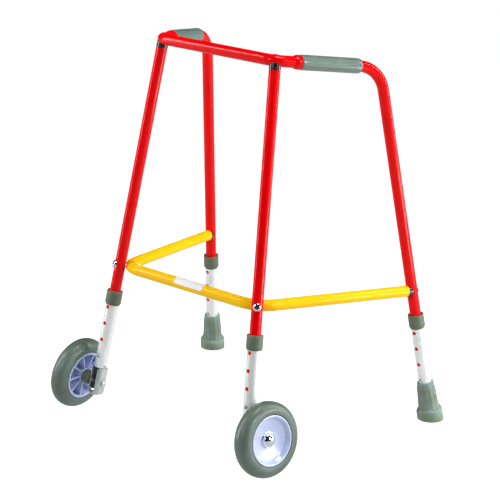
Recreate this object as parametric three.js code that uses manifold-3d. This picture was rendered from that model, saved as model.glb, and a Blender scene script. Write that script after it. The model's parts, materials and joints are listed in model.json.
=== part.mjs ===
// Junior walking frame: four splayed legs, two grips, a front bar and a low stretcher,
// wheels on the front legs and rubber ferrules on the rear legs.
// Millimetres, +Z up, -Y the front, +Y the user's side, origin on the floor under the middle.
import * as THREE from 'three';
import { mergeVertices } from 'three/addons/utils/BufferGeometryUtils.js';
import Module from 'manifold-3d';

const wasm = await Module();
wasm.setup();

// ---------- driving dimensions ----------

// Leg axes: where each one meets the floor, and where it is at legReferenceHeight.
const legReferenceHeight = 650;
const frontLeg = { footX: 179.2, footY: -179.7, topX: 123.4, topY: -65.2 };
const rearLeg = { footX: 258.3, footY: 213.2, topX: 190, topY: 111.5 };

// Frame tube and the sleeve that slides on it.
const tubeRadius = 9.525;
const tubeWall = 1.5;
const sleeveRadius = 11.1;
const gap = 0.3;

// Top bar, handles and their bends.
const topBarHeight = 649.2;
const handleRearHeight = 623.5;
const topBendRadius = 25;
const handleBendRadius = 54;
const topBarReach = 46;
const bellRadius = 12;
const bellLength = 8;
const bellTaper = 5;
const bellStep = 0.4;
const spigotLength = 16;
const spigotWall = 1.3;
const gripRadius = 12.6;
const gripLength = 112;
const gripRounding = 5;

// Plastic plugs that seat one tube on the side of another.
const plugCollar = 5.5;
const plugDepth = 18;
const plugHornDrop = 3.2;
const plugScrewDepth = 12;
const plugScrewRadius = 2.3;
const cornerScrewHeadRadius = 4.4;
const cornerScrewHeadHeight = 2;
const rearScrewHeadRadius = 4.6;
const rearScrewHeadHeight = 2;
const screwHeadSink = 3;
const holeClearance = 0.5;

// Stretcher: a U behind the front legs, running back to the rear legs.
const stretcherFrontHeight = 262.6;
const stretcherRearHeight = 236;
const stretcherBendRadius = 45;
const stretcherEndGap = 2.7;
const boltRadius = 3;
const boltHeadRadius = 6.75;
const boltHeadHeight = 3.4;
const boltSocketRadius = 3.2;
const boltSocketDepth = 1.8;
const nutRadius = 6;
const nutHeight = 5.5;
const labelStart = -26;
const labelLength = 63;
const labelThickness = 0.25;
const labelLowEdge = THREE.MathUtils.degToRad(8);
const labelHighEdge = THREE.MathUtils.degToRad(115);

// Telescopic feet, measured up the leg axis from the floor.
const frontButton = 104.6;
const rearButton = 76.8;
const holePitch = 29.4;
const holeCount = 4;
const buttonRadius = 3.2;
const buttonProud = 2.5;
const collarAboveTopHole = { front: 29.2, rear: 32 };
const collarHeight = 25;
const collarRadius = 13.7;
const collarLip = 3;
const collarEdge = 3;
const frontTubeBelowButton = 7.6;
const rearTubeBelowButton = 24;
const springWidth = 6;
const springThickness = 0.8;
const springLength = 38;

// Ferrules on the rear sleeves.
const ferruleHeight = 71;
const ferruleTopRadius = 14.3;
const ferruleFlareRadius = 17.2;
const ferruleStep = 21;
const ferruleBaseRadius = 22.5;
const ferruleFloor = 8.5;
const washerThickness = 1.6;

// Wheels and the brackets that carry them.
const wheelRadius = 62.4;
const tyreWidth = 31;
const tyreShoulder = 14;
const tyreBore = 42;
const tyreKeyDepth = 2.5;
const tyreKeyWidth = 10;
const wheelCentreX = 216.75;
const wheelCentreY = -173.4;
const camber = THREE.MathUtils.degToRad(8);
// The right axle is toed in a little further than the left one.
const toeLeft = THREE.MathUtils.degToRad(2.5);
const toeRight = THREE.MathUtils.degToRad(6.2);
const axleSeatClearance = 1.2;
const rimHalfWidth = 15;
const rimWall = 4;
const dishOuterFace = 4;
const dishRadius = 34;
const webThickness = 4;
const hubBossRadius = 12;
const ribCount = 9;
const ribThickness = 2.4;
const axleRadius = 4;
const axleCapRadius = 14;
const axleCapHeight = 10;
const axleNutRadius = 4.6;
const axleNutHeight = 3.2;
const sleeveEndAboveFloor = 83.6;
const bracketBottom = 33.6;
const bracketInboard = 12.5;
const bracketOutboard = 12;
const bracketPlate = 2;
const bracketHalfWidth = 8;
const bracketFlange = 11;
const bracketCorner = 8;
const coreSpigot = 11.5;
const rivetAboveSleeveEnd = 4.5;
const rivetRadius = 2;
const rivetHeadRadius = 3.6;
const rivetHeadHeight = 1.2;

// How far a leg-shaped cutter runs each way.
const cutterReach = 40;

// Facets.
const tubeSides = 14;
const boreSides = 12;
const smallSides = 10;
const wheelSides = 24;
const bendSteps = 5;
const shoulderSteps = 3;
const domeSteps = 5;

// ---------- materials ----------

function finish(color, roughness, metalness) {
  return () => new THREE.MeshStandardMaterial({ color, roughness, metalness });
}

const redPaint = finish(0xd8060c, 0.22, 0.1);
const yellowPaint = finish(0xf2ad0a, 0.3, 0.1);
const aluminium = finish(0xdde4e2, 0.32, 0.9);
const blackPlastic = finish(0x0b0b0d, 0.3, 0);
const greyVinyl = finish(0x7f948a, 0.5, 0);
const collarPlastic = finish(0x66705a, 0.5, 0);
const greyRubber = finish(0x7e9384, 0.75, 0);
const tyreRubber = finish(0x6c8072, 0.7, 0);
const hubPlastic = finish(0xc3d1f2, 0.35, 0);
const chrome = finish(0xd5d9dc, 0.12, 1);
const zincSteel = finish(0xb9bec0, 0.35, 1);
const springSteel = finish(0x8f9498, 0.4, 1);
const whiteLabel = finish(0xf4f6f5, 0.5, 0);

// ---------- solids ----------

// A closed solid from a three.js geometry: shared corners merged, flat triangles dropped,
// faces turned outwards.
function solidFrom(geometry, matrix) {
  let bare = geometry.clone();
  bare.deleteAttribute('normal');
  bare.deleteAttribute('uv');
  if (matrix) bare.applyMatrix4(matrix);
  bare = mergeVertices(bare, 1e-4);
  const vertProperties = new Float32Array(bare.attributes.position.array);
  const corner = (index) => new THREE.Vector3().fromArray(vertProperties, 3 * index);
  const kept = [];
  let volume = 0;
  for (let start = 0; start < bare.index.count; start += 3) {
    const [a, b, c] = [0, 1, 2].map((offset) => bare.index.getX(start + offset));
    if (a === b || b === c || c === a) continue;
    kept.push([a, b, c]);
    volume += corner(a).dot(corner(b).cross(corner(c)));
  }
  const triVerts = new Uint32Array(kept.flatMap(([a, b, c]) => (volume > 0 ? [a, b, c] : [a, c, b])));
  return new wasm.Manifold(new wasm.Mesh({ numProp: 3, vertProperties, triVerts }));
}

function joined(...solids) {
  return solids.reduce((whole, solid) => whole.add(solid));
}

function cut(solid, ...tools) {
  return tools.reduce((left, tool) => left.subtract(tool), solid);
}

function geometryOf(solid) {
  const { vertProperties, triVerts } = solid.getMesh();
  const geometry = new THREE.BufferGeometry();
  geometry.setAttribute('position', new THREE.BufferAttribute(new Float32Array(vertProperties), 3));
  geometry.setIndex(new THREE.BufferAttribute(new Uint32Array(triVerts), 1));
  geometry.computeVertexNormals();
  return geometry;
}

function meshOf(name, solid, material) {
  const mesh = new THREE.Mesh(geometryOf(solid), material());
  mesh.name = name;
  return mesh;
}

// A turned solid about +Z from [radius, height] pairs. A profile that leaves the axis
// is closed on itself.
function turned(profile, sides = tubeSides, matrix = undefined) {
  const points = profile.map(([radius, height]) => new THREE.Vector2(radius, height));
  const onAxis = profile[0][0] === 0;
  if (!onAxis) points.push(points[0].clone());
  return solidFrom(new THREE.LatheGeometry(points, sides).rotateX(Math.PI / 2), matrix);
}

// A round bar about +Z between two heights.
function bar(radius, low, high, sides = tubeSides, matrix = undefined) {
  return turned([[0, low], [radius, low], [radius, high], [0, high]], sides, matrix);
}

function block(low, high, matrix = undefined) {
  const size = high.map((value, axis) => value - low[axis]);
  const middle = high.map((value, axis) => (value + low[axis]) / 2);
  return solidFrom(new THREE.BoxGeometry(...size).translate(...middle), matrix);
}

// A flat outline in X and Y, given thickness along +Z from 0.
function slab(points, thickness, matrix) {
  const outline = new THREE.Shape(points.map(([x, y]) => new THREE.Vector2(x, y)));
  const options = { depth: thickness, bevelEnabled: false };
  return solidFrom(new THREE.ExtrudeGeometry(outline, options), matrix);
}

function arcPoints(centreX, centreY, radius, from, to, steps) {
  const share = (step) => from + ((to - from) * step) / steps;
  return Array.from({ length: steps + 1 }, (_, step) => [
    centreX + radius * Math.cos(share(step)),
    centreY + radius * Math.sin(share(step)),
  ]);
}

// The turn and shift that lays +Z along a line.
function alongLine(from, direction) {
  const turn = new THREE.Quaternion().setFromUnitVectors(
    new THREE.Vector3(0, 0, 1),
    direction.clone().normalize(),
  );
  return new THREE.Matrix4().compose(from, turn, new THREE.Vector3(1, 1, 1));
}

// ---------- bent tubes ----------

// A centre line through stations, each with its own direction.
class Route extends THREE.Curve {
  constructor(stations) {
    super();
    this.stations = stations;
  }

  station(share) {
    return this.stations[Math.round(share * (this.stations.length - 1))];
  }

  getPointAt(share) {
    return this.station(share).point.clone();
  }

  getTangentAt(share) {
    return this.station(share).direction.clone();
  }
}

// A route through corners, each rounded to the bend radius.
function bentRoute(corners, bendRadius) {
  const leaving = (index) => corners[index + 1].clone().sub(corners[index]).normalize();
  const stations = [{ point: corners[0], direction: leaving(0) }];
  for (let index = 1; index < corners.length - 1; index += 1) {
    const before = leaving(index - 1);
    const after = leaving(index);
    const turn = before.angleTo(after);
    const hinge = before.clone().cross(after).normalize();
    const start = corners[index].clone().addScaledVector(before, -bendRadius * Math.tan(turn / 2));
    const inward = hinge.clone().cross(before);
    const centre = start.clone().addScaledVector(inward, bendRadius);
    for (let step = 0; step <= bendSteps; step += 1) {
      const angle = (turn * step) / bendSteps;
      const spoke = start.clone().sub(centre).applyAxisAngle(hinge, angle);
      stations.push({
        point: centre.clone().add(spoke),
        direction: before.clone().applyAxisAngle(hinge, angle),
      });
    }
  }
  stations.push({ point: corners.at(-1), direction: leaving(corners.length - 2) });
  return new Route(stations);
}

function sweptSolid(corners, bendRadius, radius, facets = tubeSides) {
  const extrudePath = bentRoute(corners, bendRadius);
  const ring = arcPoints(0, 0, radius, 0, 2 * Math.PI, facets).slice(0, -1);
  const section = new THREE.Shape(ring.map(([x, y]) => new THREE.Vector2(x, y)));
  const steps = extrudePath.stations.length - 1;
  return solidFrom(new THREE.ExtrudeGeometry(section, { steps, extrudePath }));
}

// The same corners with both ends moved outwards, so that a bore breaks through.
function lengthened(corners, extra) {
  const first = corners[0].clone().sub(corners[1]).setLength(extra).add(corners[0]);
  const last = corners.at(-1).clone().sub(corners.at(-2)).setLength(extra).add(corners.at(-1));
  return [first, ...corners.slice(1, -1), last];
}

function bentTube(corners, bendRadius) {
  const outside = sweptSolid(corners, bendRadius, tubeRadius);
  return cut(outside, sweptSolid(lengthened(corners, 2), bendRadius, tubeBore, boreSides));
}

// The corner whose rounded bend passes through a given middle point, on its way
// from a straight run towards an end point.
function cornerOfBend(middle, arriving, end, bendRadius) {
  let corner = middle.clone();
  for (let pass = 0; pass < 6; pass += 1) {
    const away = end.clone().sub(corner).normalize();
    const inward = away.clone().sub(arriving).normalize();
    const halfTurn = away.angleTo(arriving) / 2;
    corner = middle.clone().addScaledVector(inward, bendRadius * (1 - 1 / Math.cos(halfTurn)));
  }
  return corner;
}

// ---------- places ----------

// A leg's own frame: origin where its axis meets the floor, +Z up the axis, -Y the front.
function legFrame(leg, side) {
  const foot = new THREE.Vector3(side * leg.footX, leg.footY, 0);
  const top = new THREE.Vector3(side * leg.topX, leg.topY, legReferenceHeight);
  const axis = top.sub(foot).normalize();
  const back = new THREE.Vector3(0, 1, 0).addScaledVector(axis, -axis.y).normalize();
  return new THREE.Matrix4().makeBasis(back.clone().cross(axis), back, axis).setPosition(foot);
}

function axisOf(frame) {
  return new THREE.Vector3().setFromMatrixColumn(frame, 2);
}

// Distance up a leg's axis to a height above the floor, and the point there.
function reachOf(frame, height) {
  return height / axisOf(frame).z;
}

function pointAt(frame, height) {
  return new THREE.Vector3(0, 0, reachOf(frame, height)).applyMatrix4(frame);
}

function inFrame(frame) {
  const group = new THREE.Group();
  frame.decompose(group.position, group.quaternion, group.scale);
  return group;
}

const sides = [{ name: 'left', sign: -1, toe: toeLeft }, { name: 'right', sign: 1, toe: toeRight }];
const tubeBore = tubeRadius - tubeWall;
const sleeveBore = tubeRadius + gap;
const screwHole = plugScrewRadius + holeClearance;
const boltHole = boltRadius + holeClearance;

for (const side of sides) {
  const outward = new THREE.Vector3(side.sign, 0, 0);
  side.front = legFrame(frontLeg, side.sign);
  side.rear = legFrame(rearLeg, side.sign);

  side.handleBend = pointAt(side.rear, handleRearHeight);
  side.topCorner = cornerOfBend(pointAt(side.front, topBarHeight), outward, side.handleBend, topBendRadius);
  side.handle = side.handleBend.clone().sub(side.topCorner).normalize();

  // The stretcher's bend lies against the inside of the front leg.
  side.bolt = pointAt(side.front, stretcherFrontHeight);
  side.stretcherEnd = pointAt(side.rear, stretcherRearHeight);
  const rearward = side.stretcherEnd.clone().sub(side.bolt).normalize();
  const axis = axisOf(side.front);
  side.boltInward = rearward.sub(outward);
  side.boltInward.addScaledVector(axis, -side.boltInward.dot(axis)).normalize();
  const bendMiddle = side.bolt.clone().addScaledVector(side.boltInward, 2 * tubeRadius + gap);
  side.stretcherCorner = cornerOfBend(bendMiddle, outward, side.stretcherEnd, stretcherBendRadius);
  side.arm = side.stretcherEnd.clone().sub(side.stretcherCorner).normalize();
}
const [left, right] = sides;

function topBarCorners() {
  const end = (side) => side.topCorner.clone().addScaledVector(side.handle, topBarReach);
  return [end(left), left.topCorner.clone(), right.topCorner.clone(), end(right)];
}

function stretcherCorners() {
  const back = tubeRadius + stretcherEndGap;
  const end = (side) => side.stretcherEnd.clone().addScaledVector(side.arm, -back);
  return [end(left), left.stretcherCorner.clone(), right.stretcherCorner.clone(), end(right)];
}

// ---------- frame pieces ----------

// One tube makes the front bar, both top corners and a belled socket for each handle.
function topFrontBar() {
  const corners = topBarCorners();
  let solid = sweptSolid(corners, topBendRadius, tubeRadius);
  const bells = sides.map((side) => {
    const matrix = alongLine(side.topCorner, side.handle);
    const start = topBarReach - bellLength;
    const profile = [
      [0, start - bellTaper],
      [tubeRadius + bellStep, start - bellTaper],
      [bellRadius - 0.8, start],
      [bellRadius, start + 2],
      [bellRadius, topBarReach - 1.5],
      [bellRadius - 0.8, topBarReach],
      [0, topBarReach],
    ];
    return turned(profile, tubeSides, matrix);
  });
  solid = joined(solid, ...bells);
  solid = cut(solid, sweptSolid(lengthened(corners, 2), topBendRadius, tubeBore, boreSides));
  const sockets = sides.map((side) => {
    const matrix = alongLine(side.topCorner, side.handle);
    return bar(sleeveBore, topBarReach - bellLength, topBarReach + 2, tubeSides, matrix);
  });
  const screwHoles = sides.map((side) => {
    const crown = reachOf(side.front, topBarHeight);
    return bar(screwHole, crown - 2 * tubeRadius, crown + 2 * tubeRadius, smallSides, side.front);
  });
  return cut(solid, ...sockets, ...screwHoles);
}

// Handle and rear leg in one tube, with a thinner spigot inside the top bar's socket.
function sideTube(side) {
  const start = topBarReach - bellLength + gap;
  const corners = [
    side.topCorner.clone().addScaledVector(side.handle, start),
    side.handleBend,
    new THREE.Vector3(0, 0, rearButton - rearTubeBelowButton).applyMatrix4(side.rear),
  ];
  const outside = sweptSolid(corners, handleBendRadius, tubeRadius);
  const matrix = alongLine(side.topCorner, side.handle);
  const spigotRadius = tubeBore - gap;
  const spigot = bar(spigotRadius, start - spigotLength, start + 2, tubeSides, matrix);
  const bore = [corners[0].clone().addScaledVector(side.handle, 2), corners[1], corners[2]];
  const tail = lengthened(bore, 2).at(-1);
  const inside = sweptSolid([bore[0], bore[1], tail], handleBendRadius, tubeBore, boreSides);
  const spigotBore = bar(spigotRadius - spigotWall, start - spigotLength - 2, start + 4, tubeSides, matrix);
  const screwLine = alongLine(side.stretcherEnd, side.arm);
  const screw = bar(screwHole, -2 * tubeRadius, 2 * tubeRadius, smallSides, screwLine);
  const button = buttonHole(side.rear, rearButton);
  return cut(joined(outside, spigot), inside, spigotBore, screw, button);
}

// A hole through the front wall of whatever stands on a leg's axis.
function buttonHole(frame, reach) {
  const lying = new THREE.Matrix4().makeRotationX(Math.PI / 2);
  lying.setPosition(0, 0, reach);
  return bar(buttonRadius + gap, 0, 2 * sleeveRadius, smallSides, frame.clone().multiply(lying));
}

function grip() {
  const inner = tubeRadius + gap;
  const profile = [
    [inner, 0],
    [gripRadius - 1, 0],
    [gripRadius, 1.2],
    [gripRadius, gripLength - gripRounding],
    [gripRadius - 0.8, gripLength - gripRounding / 2],
    [inner + 0.8, gripLength],
    [inner, gripLength],
  ];
  return turned(profile);
}

function frontLegTop(side) {
  return reachOf(side.front, topBarHeight) - tubeRadius - plugCollar;
}

function frontLegTube(side) {
  const low = frontButton - frontTubeBelowButton;
  const tube = cut(
    bar(tubeRadius, low, frontLegTop(side)),
    bar(tubeBore, low - 2, frontLegTop(side) + 2),
  );
  const local = side.front.clone().invert();
  const boltLine = local.multiply(alongLine(side.bolt, side.boltInward));
  const bolt = bar(boltHole, -2 * tubeRadius, 2 * tubeRadius, smallSides, boltLine);
  return cut(tube, bolt, buttonHole(new THREE.Matrix4(), frontButton));
}

// The top bar with its clearance, in the front leg's own frame.
function topBarInLeg(side) {
  const barPath = topBarCorners().map((corner) => corner.applyMatrix4(side.front.clone().invert()));
  return sweptSolid(barPath, topBendRadius, tubeRadius + gap);
}

// Seats the top bar's corner on the end of the front leg.
function cornerPlug(side) {
  const seat = frontLegTop(side) + gap;
  const crown = reachOf(side.front, topBarHeight);
  const body = joined(
    bar(tubeRadius, seat, crown - plugHornDrop),
    bar(tubeBore - gap, seat - plugDepth, seat + 1),
  );
  const screw = bar(screwHole, seat - plugScrewDepth - gap, crown, smallSides);
  return cut(body, topBarInLeg(side), screw);
}

function cornerScrew(side) {
  const crown = reachOf(side.front, topBarHeight) + tubeRadius + gap;
  const low = frontLegTop(side) - plugScrewDepth + gap;
  const head = turned([
    [0, crown - screwHeadSink],
    [cornerScrewHeadRadius, crown - screwHeadSink],
    [cornerScrewHeadRadius, crown + 0.6],
    [cornerScrewHeadRadius * 0.7, crown + cornerScrewHeadHeight * 0.8],
    [0, crown + cornerScrewHeadHeight],
  ], smallSides);
  const shank = bar(plugScrewRadius, low, crown + cornerScrewHeadHeight / 2, smallSides);
  return joined(cut(head, topBarInLeg(side)), shank);
}

function stretcherTube() {
  const tube = bentTube(stretcherCorners(), stretcherBendRadius);
  const holes = sides.map((side) => {
    const line = alongLine(side.bolt, side.boltInward);
    return bar(boltHole, 0, 4 * tubeRadius, smallSides, line);
  });
  const rearLegs = sides.map((side) => {
    const reach = reachOf(side.rear, stretcherRearHeight);
    return bar(tubeRadius + gap, reach - cutterReach, reach + cutterReach, tubeSides, side.rear);
  });
  return cut(tube, ...holes, ...rearLegs);
}

// Across the bolt's line: a head on the leg, the shank through both tubes, a nut inside.
function boltFrame(side) {
  return alongLine(side.bolt, side.boltInward);
}

function stretcherBolt(side) {
  const seat = -tubeRadius;
  const end = 3 * tubeRadius + gap + nutHeight - 1;
  const top = seat - boltHeadHeight;
  const profile = [
    [0, top],
    [boltHeadRadius * 0.55, top],
    [boltHeadRadius * 0.88, top + 1],
    [boltHeadRadius, top + 2.2],
    [boltHeadRadius, seat + 2.4],
    [boltRadius, seat + 2.4],
    [boltRadius, end],
    [0, end],
  ];
  const legHere = boltFrame(side).invert().multiply(side.front);
  const reach = reachOf(side.front, stretcherFrontHeight);
  const leg = cut(
    bar(tubeRadius + gap, reach - cutterReach, reach + cutterReach, tubeSides, legHere),
    bar(boltRadius + gap, -20, 20, smallSides),
  );
  const socket = bar(boltSocketRadius, top - 1, top + boltSocketDepth, 6);
  return cut(turned(profile, smallSides), leg, socket);
}

function stretcherNut(side) {
  const seat = 3 * tubeRadius + gap;
  const body = bar(nutRadius, seat - 1, seat + nutHeight, 6);
  const path = stretcherCorners().map((corner) => corner.applyMatrix4(boltFrame(side).invert()));
  const tube = sweptSolid(path, stretcherBendRadius, tubeRadius + gap);
  return cut(body, tube, bar(boltRadius + gap, seat - 2, seat + nutHeight + 2, smallSides));
}

// Along the stretcher's arm, measured back from the rear leg's axis.
function armFrame(side) {
  return alongLine(side.stretcherEnd, side.arm);
}

function legAcrossArm(side, clearance) {
  const legHere = armFrame(side).invert().multiply(side.rear);
  const reach = reachOf(side.rear, stretcherRearHeight);
  return bar(tubeRadius + clearance, reach - cutterReach, reach + cutterReach, tubeSides, legHere);
}

// Seats the end of the stretcher on the side of the rear leg.
function rearSaddle(side) {
  const seat = -tubeRadius - stretcherEndGap + gap;
  const body = joined(
    bar(tubeRadius, seat, -plugHornDrop),
    bar(tubeBore - gap, seat - plugDepth, seat + 1),
  );
  const screw = bar(screwHole, seat - plugScrewDepth - gap, 2, smallSides);
  return cut(body, legAcrossArm(side, gap), screw);
}

function rearScrew(side) {
  const seat = tubeRadius;
  const top = seat + gap + rearScrewHeadHeight;
  const tip = -tubeRadius - stretcherEndGap - plugScrewDepth + 2 * gap;
  const head = turned([
    [0, seat - screwHeadSink],
    [rearScrewHeadRadius, seat - screwHeadSink],
    [rearScrewHeadRadius, top - 1.2],
    [rearScrewHeadRadius * 0.6, top - 0.3],
    [0, top],
  ], smallSides);
  return joined(cut(head, legAcrossArm(side, gap)), bar(plugScrewRadius, tip, top - 1, smallSides));
}

// A blank sticker wrapped over the front and top of the stretcher's bar.
function barLabel() {
  const inner = tubeRadius + gap;
  const band = [
    ...arcPoints(0, 0, inner + labelThickness, labelLowEdge, labelHighEdge, 8),
    ...arcPoints(0, 0, inner, labelHighEdge, labelLowEdge, 8),
  ];
  const { y, z } = right.stretcherCorner;
  const matrix = new THREE.Matrix4().makeBasis(
    new THREE.Vector3(0, -1, 0),
    new THREE.Vector3(0, 0, 1),
    new THREE.Vector3(-1, 0, 0),
  );
  matrix.setPosition(labelStart + labelLength, y, z);
  return slab(band, labelLength, matrix);
}

// ---------- telescopic feet, in the leg's own frame ----------

const buttonReach = { front: frontButton, rear: rearButton };

function collarTop(end) {
  return buttonReach[end] + (holeCount - 1) * holePitch + collarAboveTopHole[end];
}

function sleeve(end, low) {
  const high = collarTop(end) - collarLip - gap;
  const holes = Array.from({ length: holeCount }, (_, index) => (
    buttonHole(new THREE.Matrix4(), buttonReach[end] + index * holePitch)
  ));
  return cut(bar(sleeveRadius, low, high), bar(sleeveBore, low - 2, high + 2), ...holes);
}

// Clamps over the sleeve's upper end and closes round the tube.
function collar(end) {
  const high = collarTop(end);
  const low = high - collarHeight;
  const profile = [
    [sleeveRadius + gap, low],
    [collarRadius - 1.6, low],
    [collarRadius - 0.4, low + collarEdge / 2],
    [collarRadius, low + collarEdge],
    [collarRadius, high - 0.8],
    [collarRadius - 0.8, high],
    [sleeveBore, high],
    [sleeveBore, high - collarLip],
    [sleeveRadius + gap, high - collarLip],
  ];
  return turned(profile);
}

function buttonLine(button) {
  return new THREE.Matrix4().makeRotationX(Math.PI / 2).setPosition(0, 0, button);
}

const springFront = tubeBore - 1.4;

function snapButton(button) {
  const base = springFront + gap;
  const tip = sleeveRadius + buttonProud;
  const profile = [
    [0, base],
    [buttonRadius, base],
    [buttonRadius, tip - 1.6],
    [buttonRadius * 0.75, tip - 0.5],
    [0, tip],
  ];
  return turned(profile, smallSides, buttonLine(button));
}

// A leaf bent into a V: the front arm carries the button, the back arm leans on the wall.
function snapSpring(button) {
  const low = button - buttonRadius - 1;
  const high = low + springLength;
  const front = springFront;
  const back = -springFront;
  const bend = 2;
  const outer = [
    [front, low],
    [front, low + 2 * buttonRadius + 2],
    [bend, high - bend],
    ...arcPoints(0, high - bend, bend, 0, Math.PI, 6).slice(1, -1),
    [-bend, high - bend],
    [back, low + 4],
    [back, low],
  ];
  const inner = [
    [back + springThickness, low],
    [back + springThickness, low + 4],
    [-bend + springThickness, high - bend],
    ...arcPoints(0, high - bend, bend - springThickness, Math.PI, 0, 6).slice(1, -1),
    [bend - springThickness, high - bend],
    [front - springThickness, low + 2 * buttonRadius + 2],
    [front - springThickness, low],
  ];
  const matrix = new THREE.Matrix4().makeBasis(
    new THREE.Vector3(0, -1, 0),
    new THREE.Vector3(0, 0, 1),
    new THREE.Vector3(-1, 0, 0),
  );
  matrix.setPosition(springWidth / 2, 0, 0);
  return slab([...outer, ...inner], springWidth, matrix);
}

// ---------- ferrule ----------

function ferrule(side) {
  const bore = sleeveRadius + gap;
  const profile = [
    [0, -8],
    [ferruleBaseRadius, -8],
    [ferruleBaseRadius, ferruleStep - 3],
    [ferruleBaseRadius - 2, ferruleStep],
    [ferruleFlareRadius, ferruleStep + 1],
    [ferruleTopRadius + 0.6, ferruleHeight - 6],
    [ferruleTopRadius, ferruleHeight - 1.5],
    [ferruleTopRadius - 0.8, ferruleHeight],
    [bore, ferruleHeight],
    [bore, ferruleFloor],
    [0, ferruleFloor],
  ];
  const underFloor = block([-400, -400, -100], [400, 400, 0], side.rear.clone().invert());
  return cut(turned(profile), underFloor);
}

function ferruleWasher() {
  const low = ferruleFloor + gap;
  const high = low + washerThickness;
  const outer = sleeveRadius;
  return turned([[4, low], [outer, low], [outer, high], [4, high]]);
}

// ---------- wheel bracket, in the leg's own frame, with outboard along the side's sign ----------

// A strap folded into a U, its inboard arm flanged front and back.
function wheelBracket(sign, axleLine) {
  const high = sleeveEndAboveFloor - 2 * gap;
  const outline = (inset) => {
    const corner = bracketCorner - inset;
    const low = bracketBottom + inset;
    const inboard = bracketInboard - inset;
    const outboard = -bracketOutboard + inset;
    const top = high + (inset > 0 ? 2 : 0);
    return [
      [inboard, top],
      [outboard, top],
      ...arcPoints(outboard + corner, low + corner, corner, Math.PI, 1.5 * Math.PI, 5),
      ...arcPoints(inboard - corner, low + corner, corner, 1.5 * Math.PI, 2 * Math.PI, 5),
    ];
  };
  // Outline X is inboard, outline Y is up the leg, thickness runs front to back.
  const standing = (halfWidth) => new THREE.Matrix4().makeBasis(
    new THREE.Vector3(-sign, 0, 0),
    new THREE.Vector3(0, 0, 1),
    new THREE.Vector3(0, sign, 0),
  ).setPosition(0, -sign * halfWidth, 0);
  const wide = 2 * bracketHalfWidth;
  const strap = cut(
    slab(outline(0), wide, standing(bracketHalfWidth)),
    slab(outline(bracketPlate), wide + 4, standing(bracketHalfWidth + 2)),
  );
  const full = slab(outline(0), wide, standing(bracketHalfWidth));
  const flangeEnd = bracketInboard - bracketFlange;
  const inner = bracketHalfWidth - bracketPlate;
  const reach = bracketInboard + 2;
  const beyond = [-sign * reach, -sign * flangeEnd].sort((a, b) => a - b);
  const flangeZone = block(
    [beyond[0], -bracketHalfWidth - 2, bracketBottom - 2],
    [beyond[1], bracketHalfWidth + 2, high + 2],
  );
  const middle = block([-40, -inner, 0], [40, inner, high + 10]);
  const flanges = cut(full.intersect(flangeZone), middle);
  const axleHole = bar(axleRadius + holeClearance, -90, 60, smallSides, axleLine);
  return cut(joined(strap, flanges), axleHole);
}

// Plastic core: a spigot in the sleeve and a block between the bracket's arms.
function bracketCore(sign, axleLine) {
  const high = sleeveEndAboveFloor - gap;
  const inboard = bracketInboard - bracketPlate - gap;
  const outboard = bracketOutboard - bracketPlate - gap;
  const across = [-sign * inboard, sign * outboard].sort((a, b) => a - b);
  const deep = bracketHalfWidth - bracketPlate - gap;
  const low = bracketBottom + bracketPlate + bracketCorner;
  const body = block([across[0], -deep, low], [across[1], deep, high]);
  const spigot = bar(sleeveBore - gap, high, high + coreSpigot);
  const neck = bar(deep, high - 4, high + 1);
  const axleHole = bar(axleRadius + gap, -90, 60, smallSides, axleLine);
  return cut(joined(body, neck, spigot), axleHole, rivetHole());
}

function rivetLine() {
  const lying = new THREE.Matrix4().makeRotationY(Math.PI / 2);
  return lying.setPosition(0, 0, sleeveEndAboveFloor + rivetAboveSleeveEnd);
}

function rivetHole() {
  return bar(rivetRadius + gap, -20, 20, smallSides, rivetLine());
}

function frontSleeve() {
  return cut(sleeve('front', sleeveEndAboveFloor), rivetHole());
}

function bracketRivet() {
  const seat = sleeveRadius + gap;
  const end = seat + rivetHeadHeight;
  const profile = [
    [0, -end],
    [rivetHeadRadius * 0.6, -end],
    [rivetHeadRadius, -seat],
    [rivetRadius, -seat],
    [rivetRadius, seat],
    [rivetHeadRadius, seat],
    [rivetHeadRadius * 0.6, end],
    [0, end],
  ];
  return turned(profile, 12, rivetLine());
}

// ---------- wheel, with its axle along +Z outboard and its middle plane at 0 ----------

function tyre() {
  const edge = tyreWidth / 2;
  const shoulder = (centre, from, to) => (
    arcPoints(wheelRadius - tyreShoulder, centre, tyreShoulder, from, to, shoulderSteps)
  );
  const bite = tyreKeyWidth / 2 - gap;
  const profile = [
    ...shoulder(tyreShoulder - edge, -Math.PI / 2, 0),
    ...shoulder(edge - tyreShoulder, 0, Math.PI / 2),
    [tyreBore + 1, edge - 1],
    [tyreBore, edge - 2],
    [tyreBore, bite],
    [tyreBore - tyreKeyDepth, bite],
    [tyreBore - tyreKeyDepth, -bite],
    [tyreBore, -bite],
    [tyreBore, 2 - edge],
    [tyreBore + 1, 1 - edge],
  ];
  return turned(profile, wheelSides);
}

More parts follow.
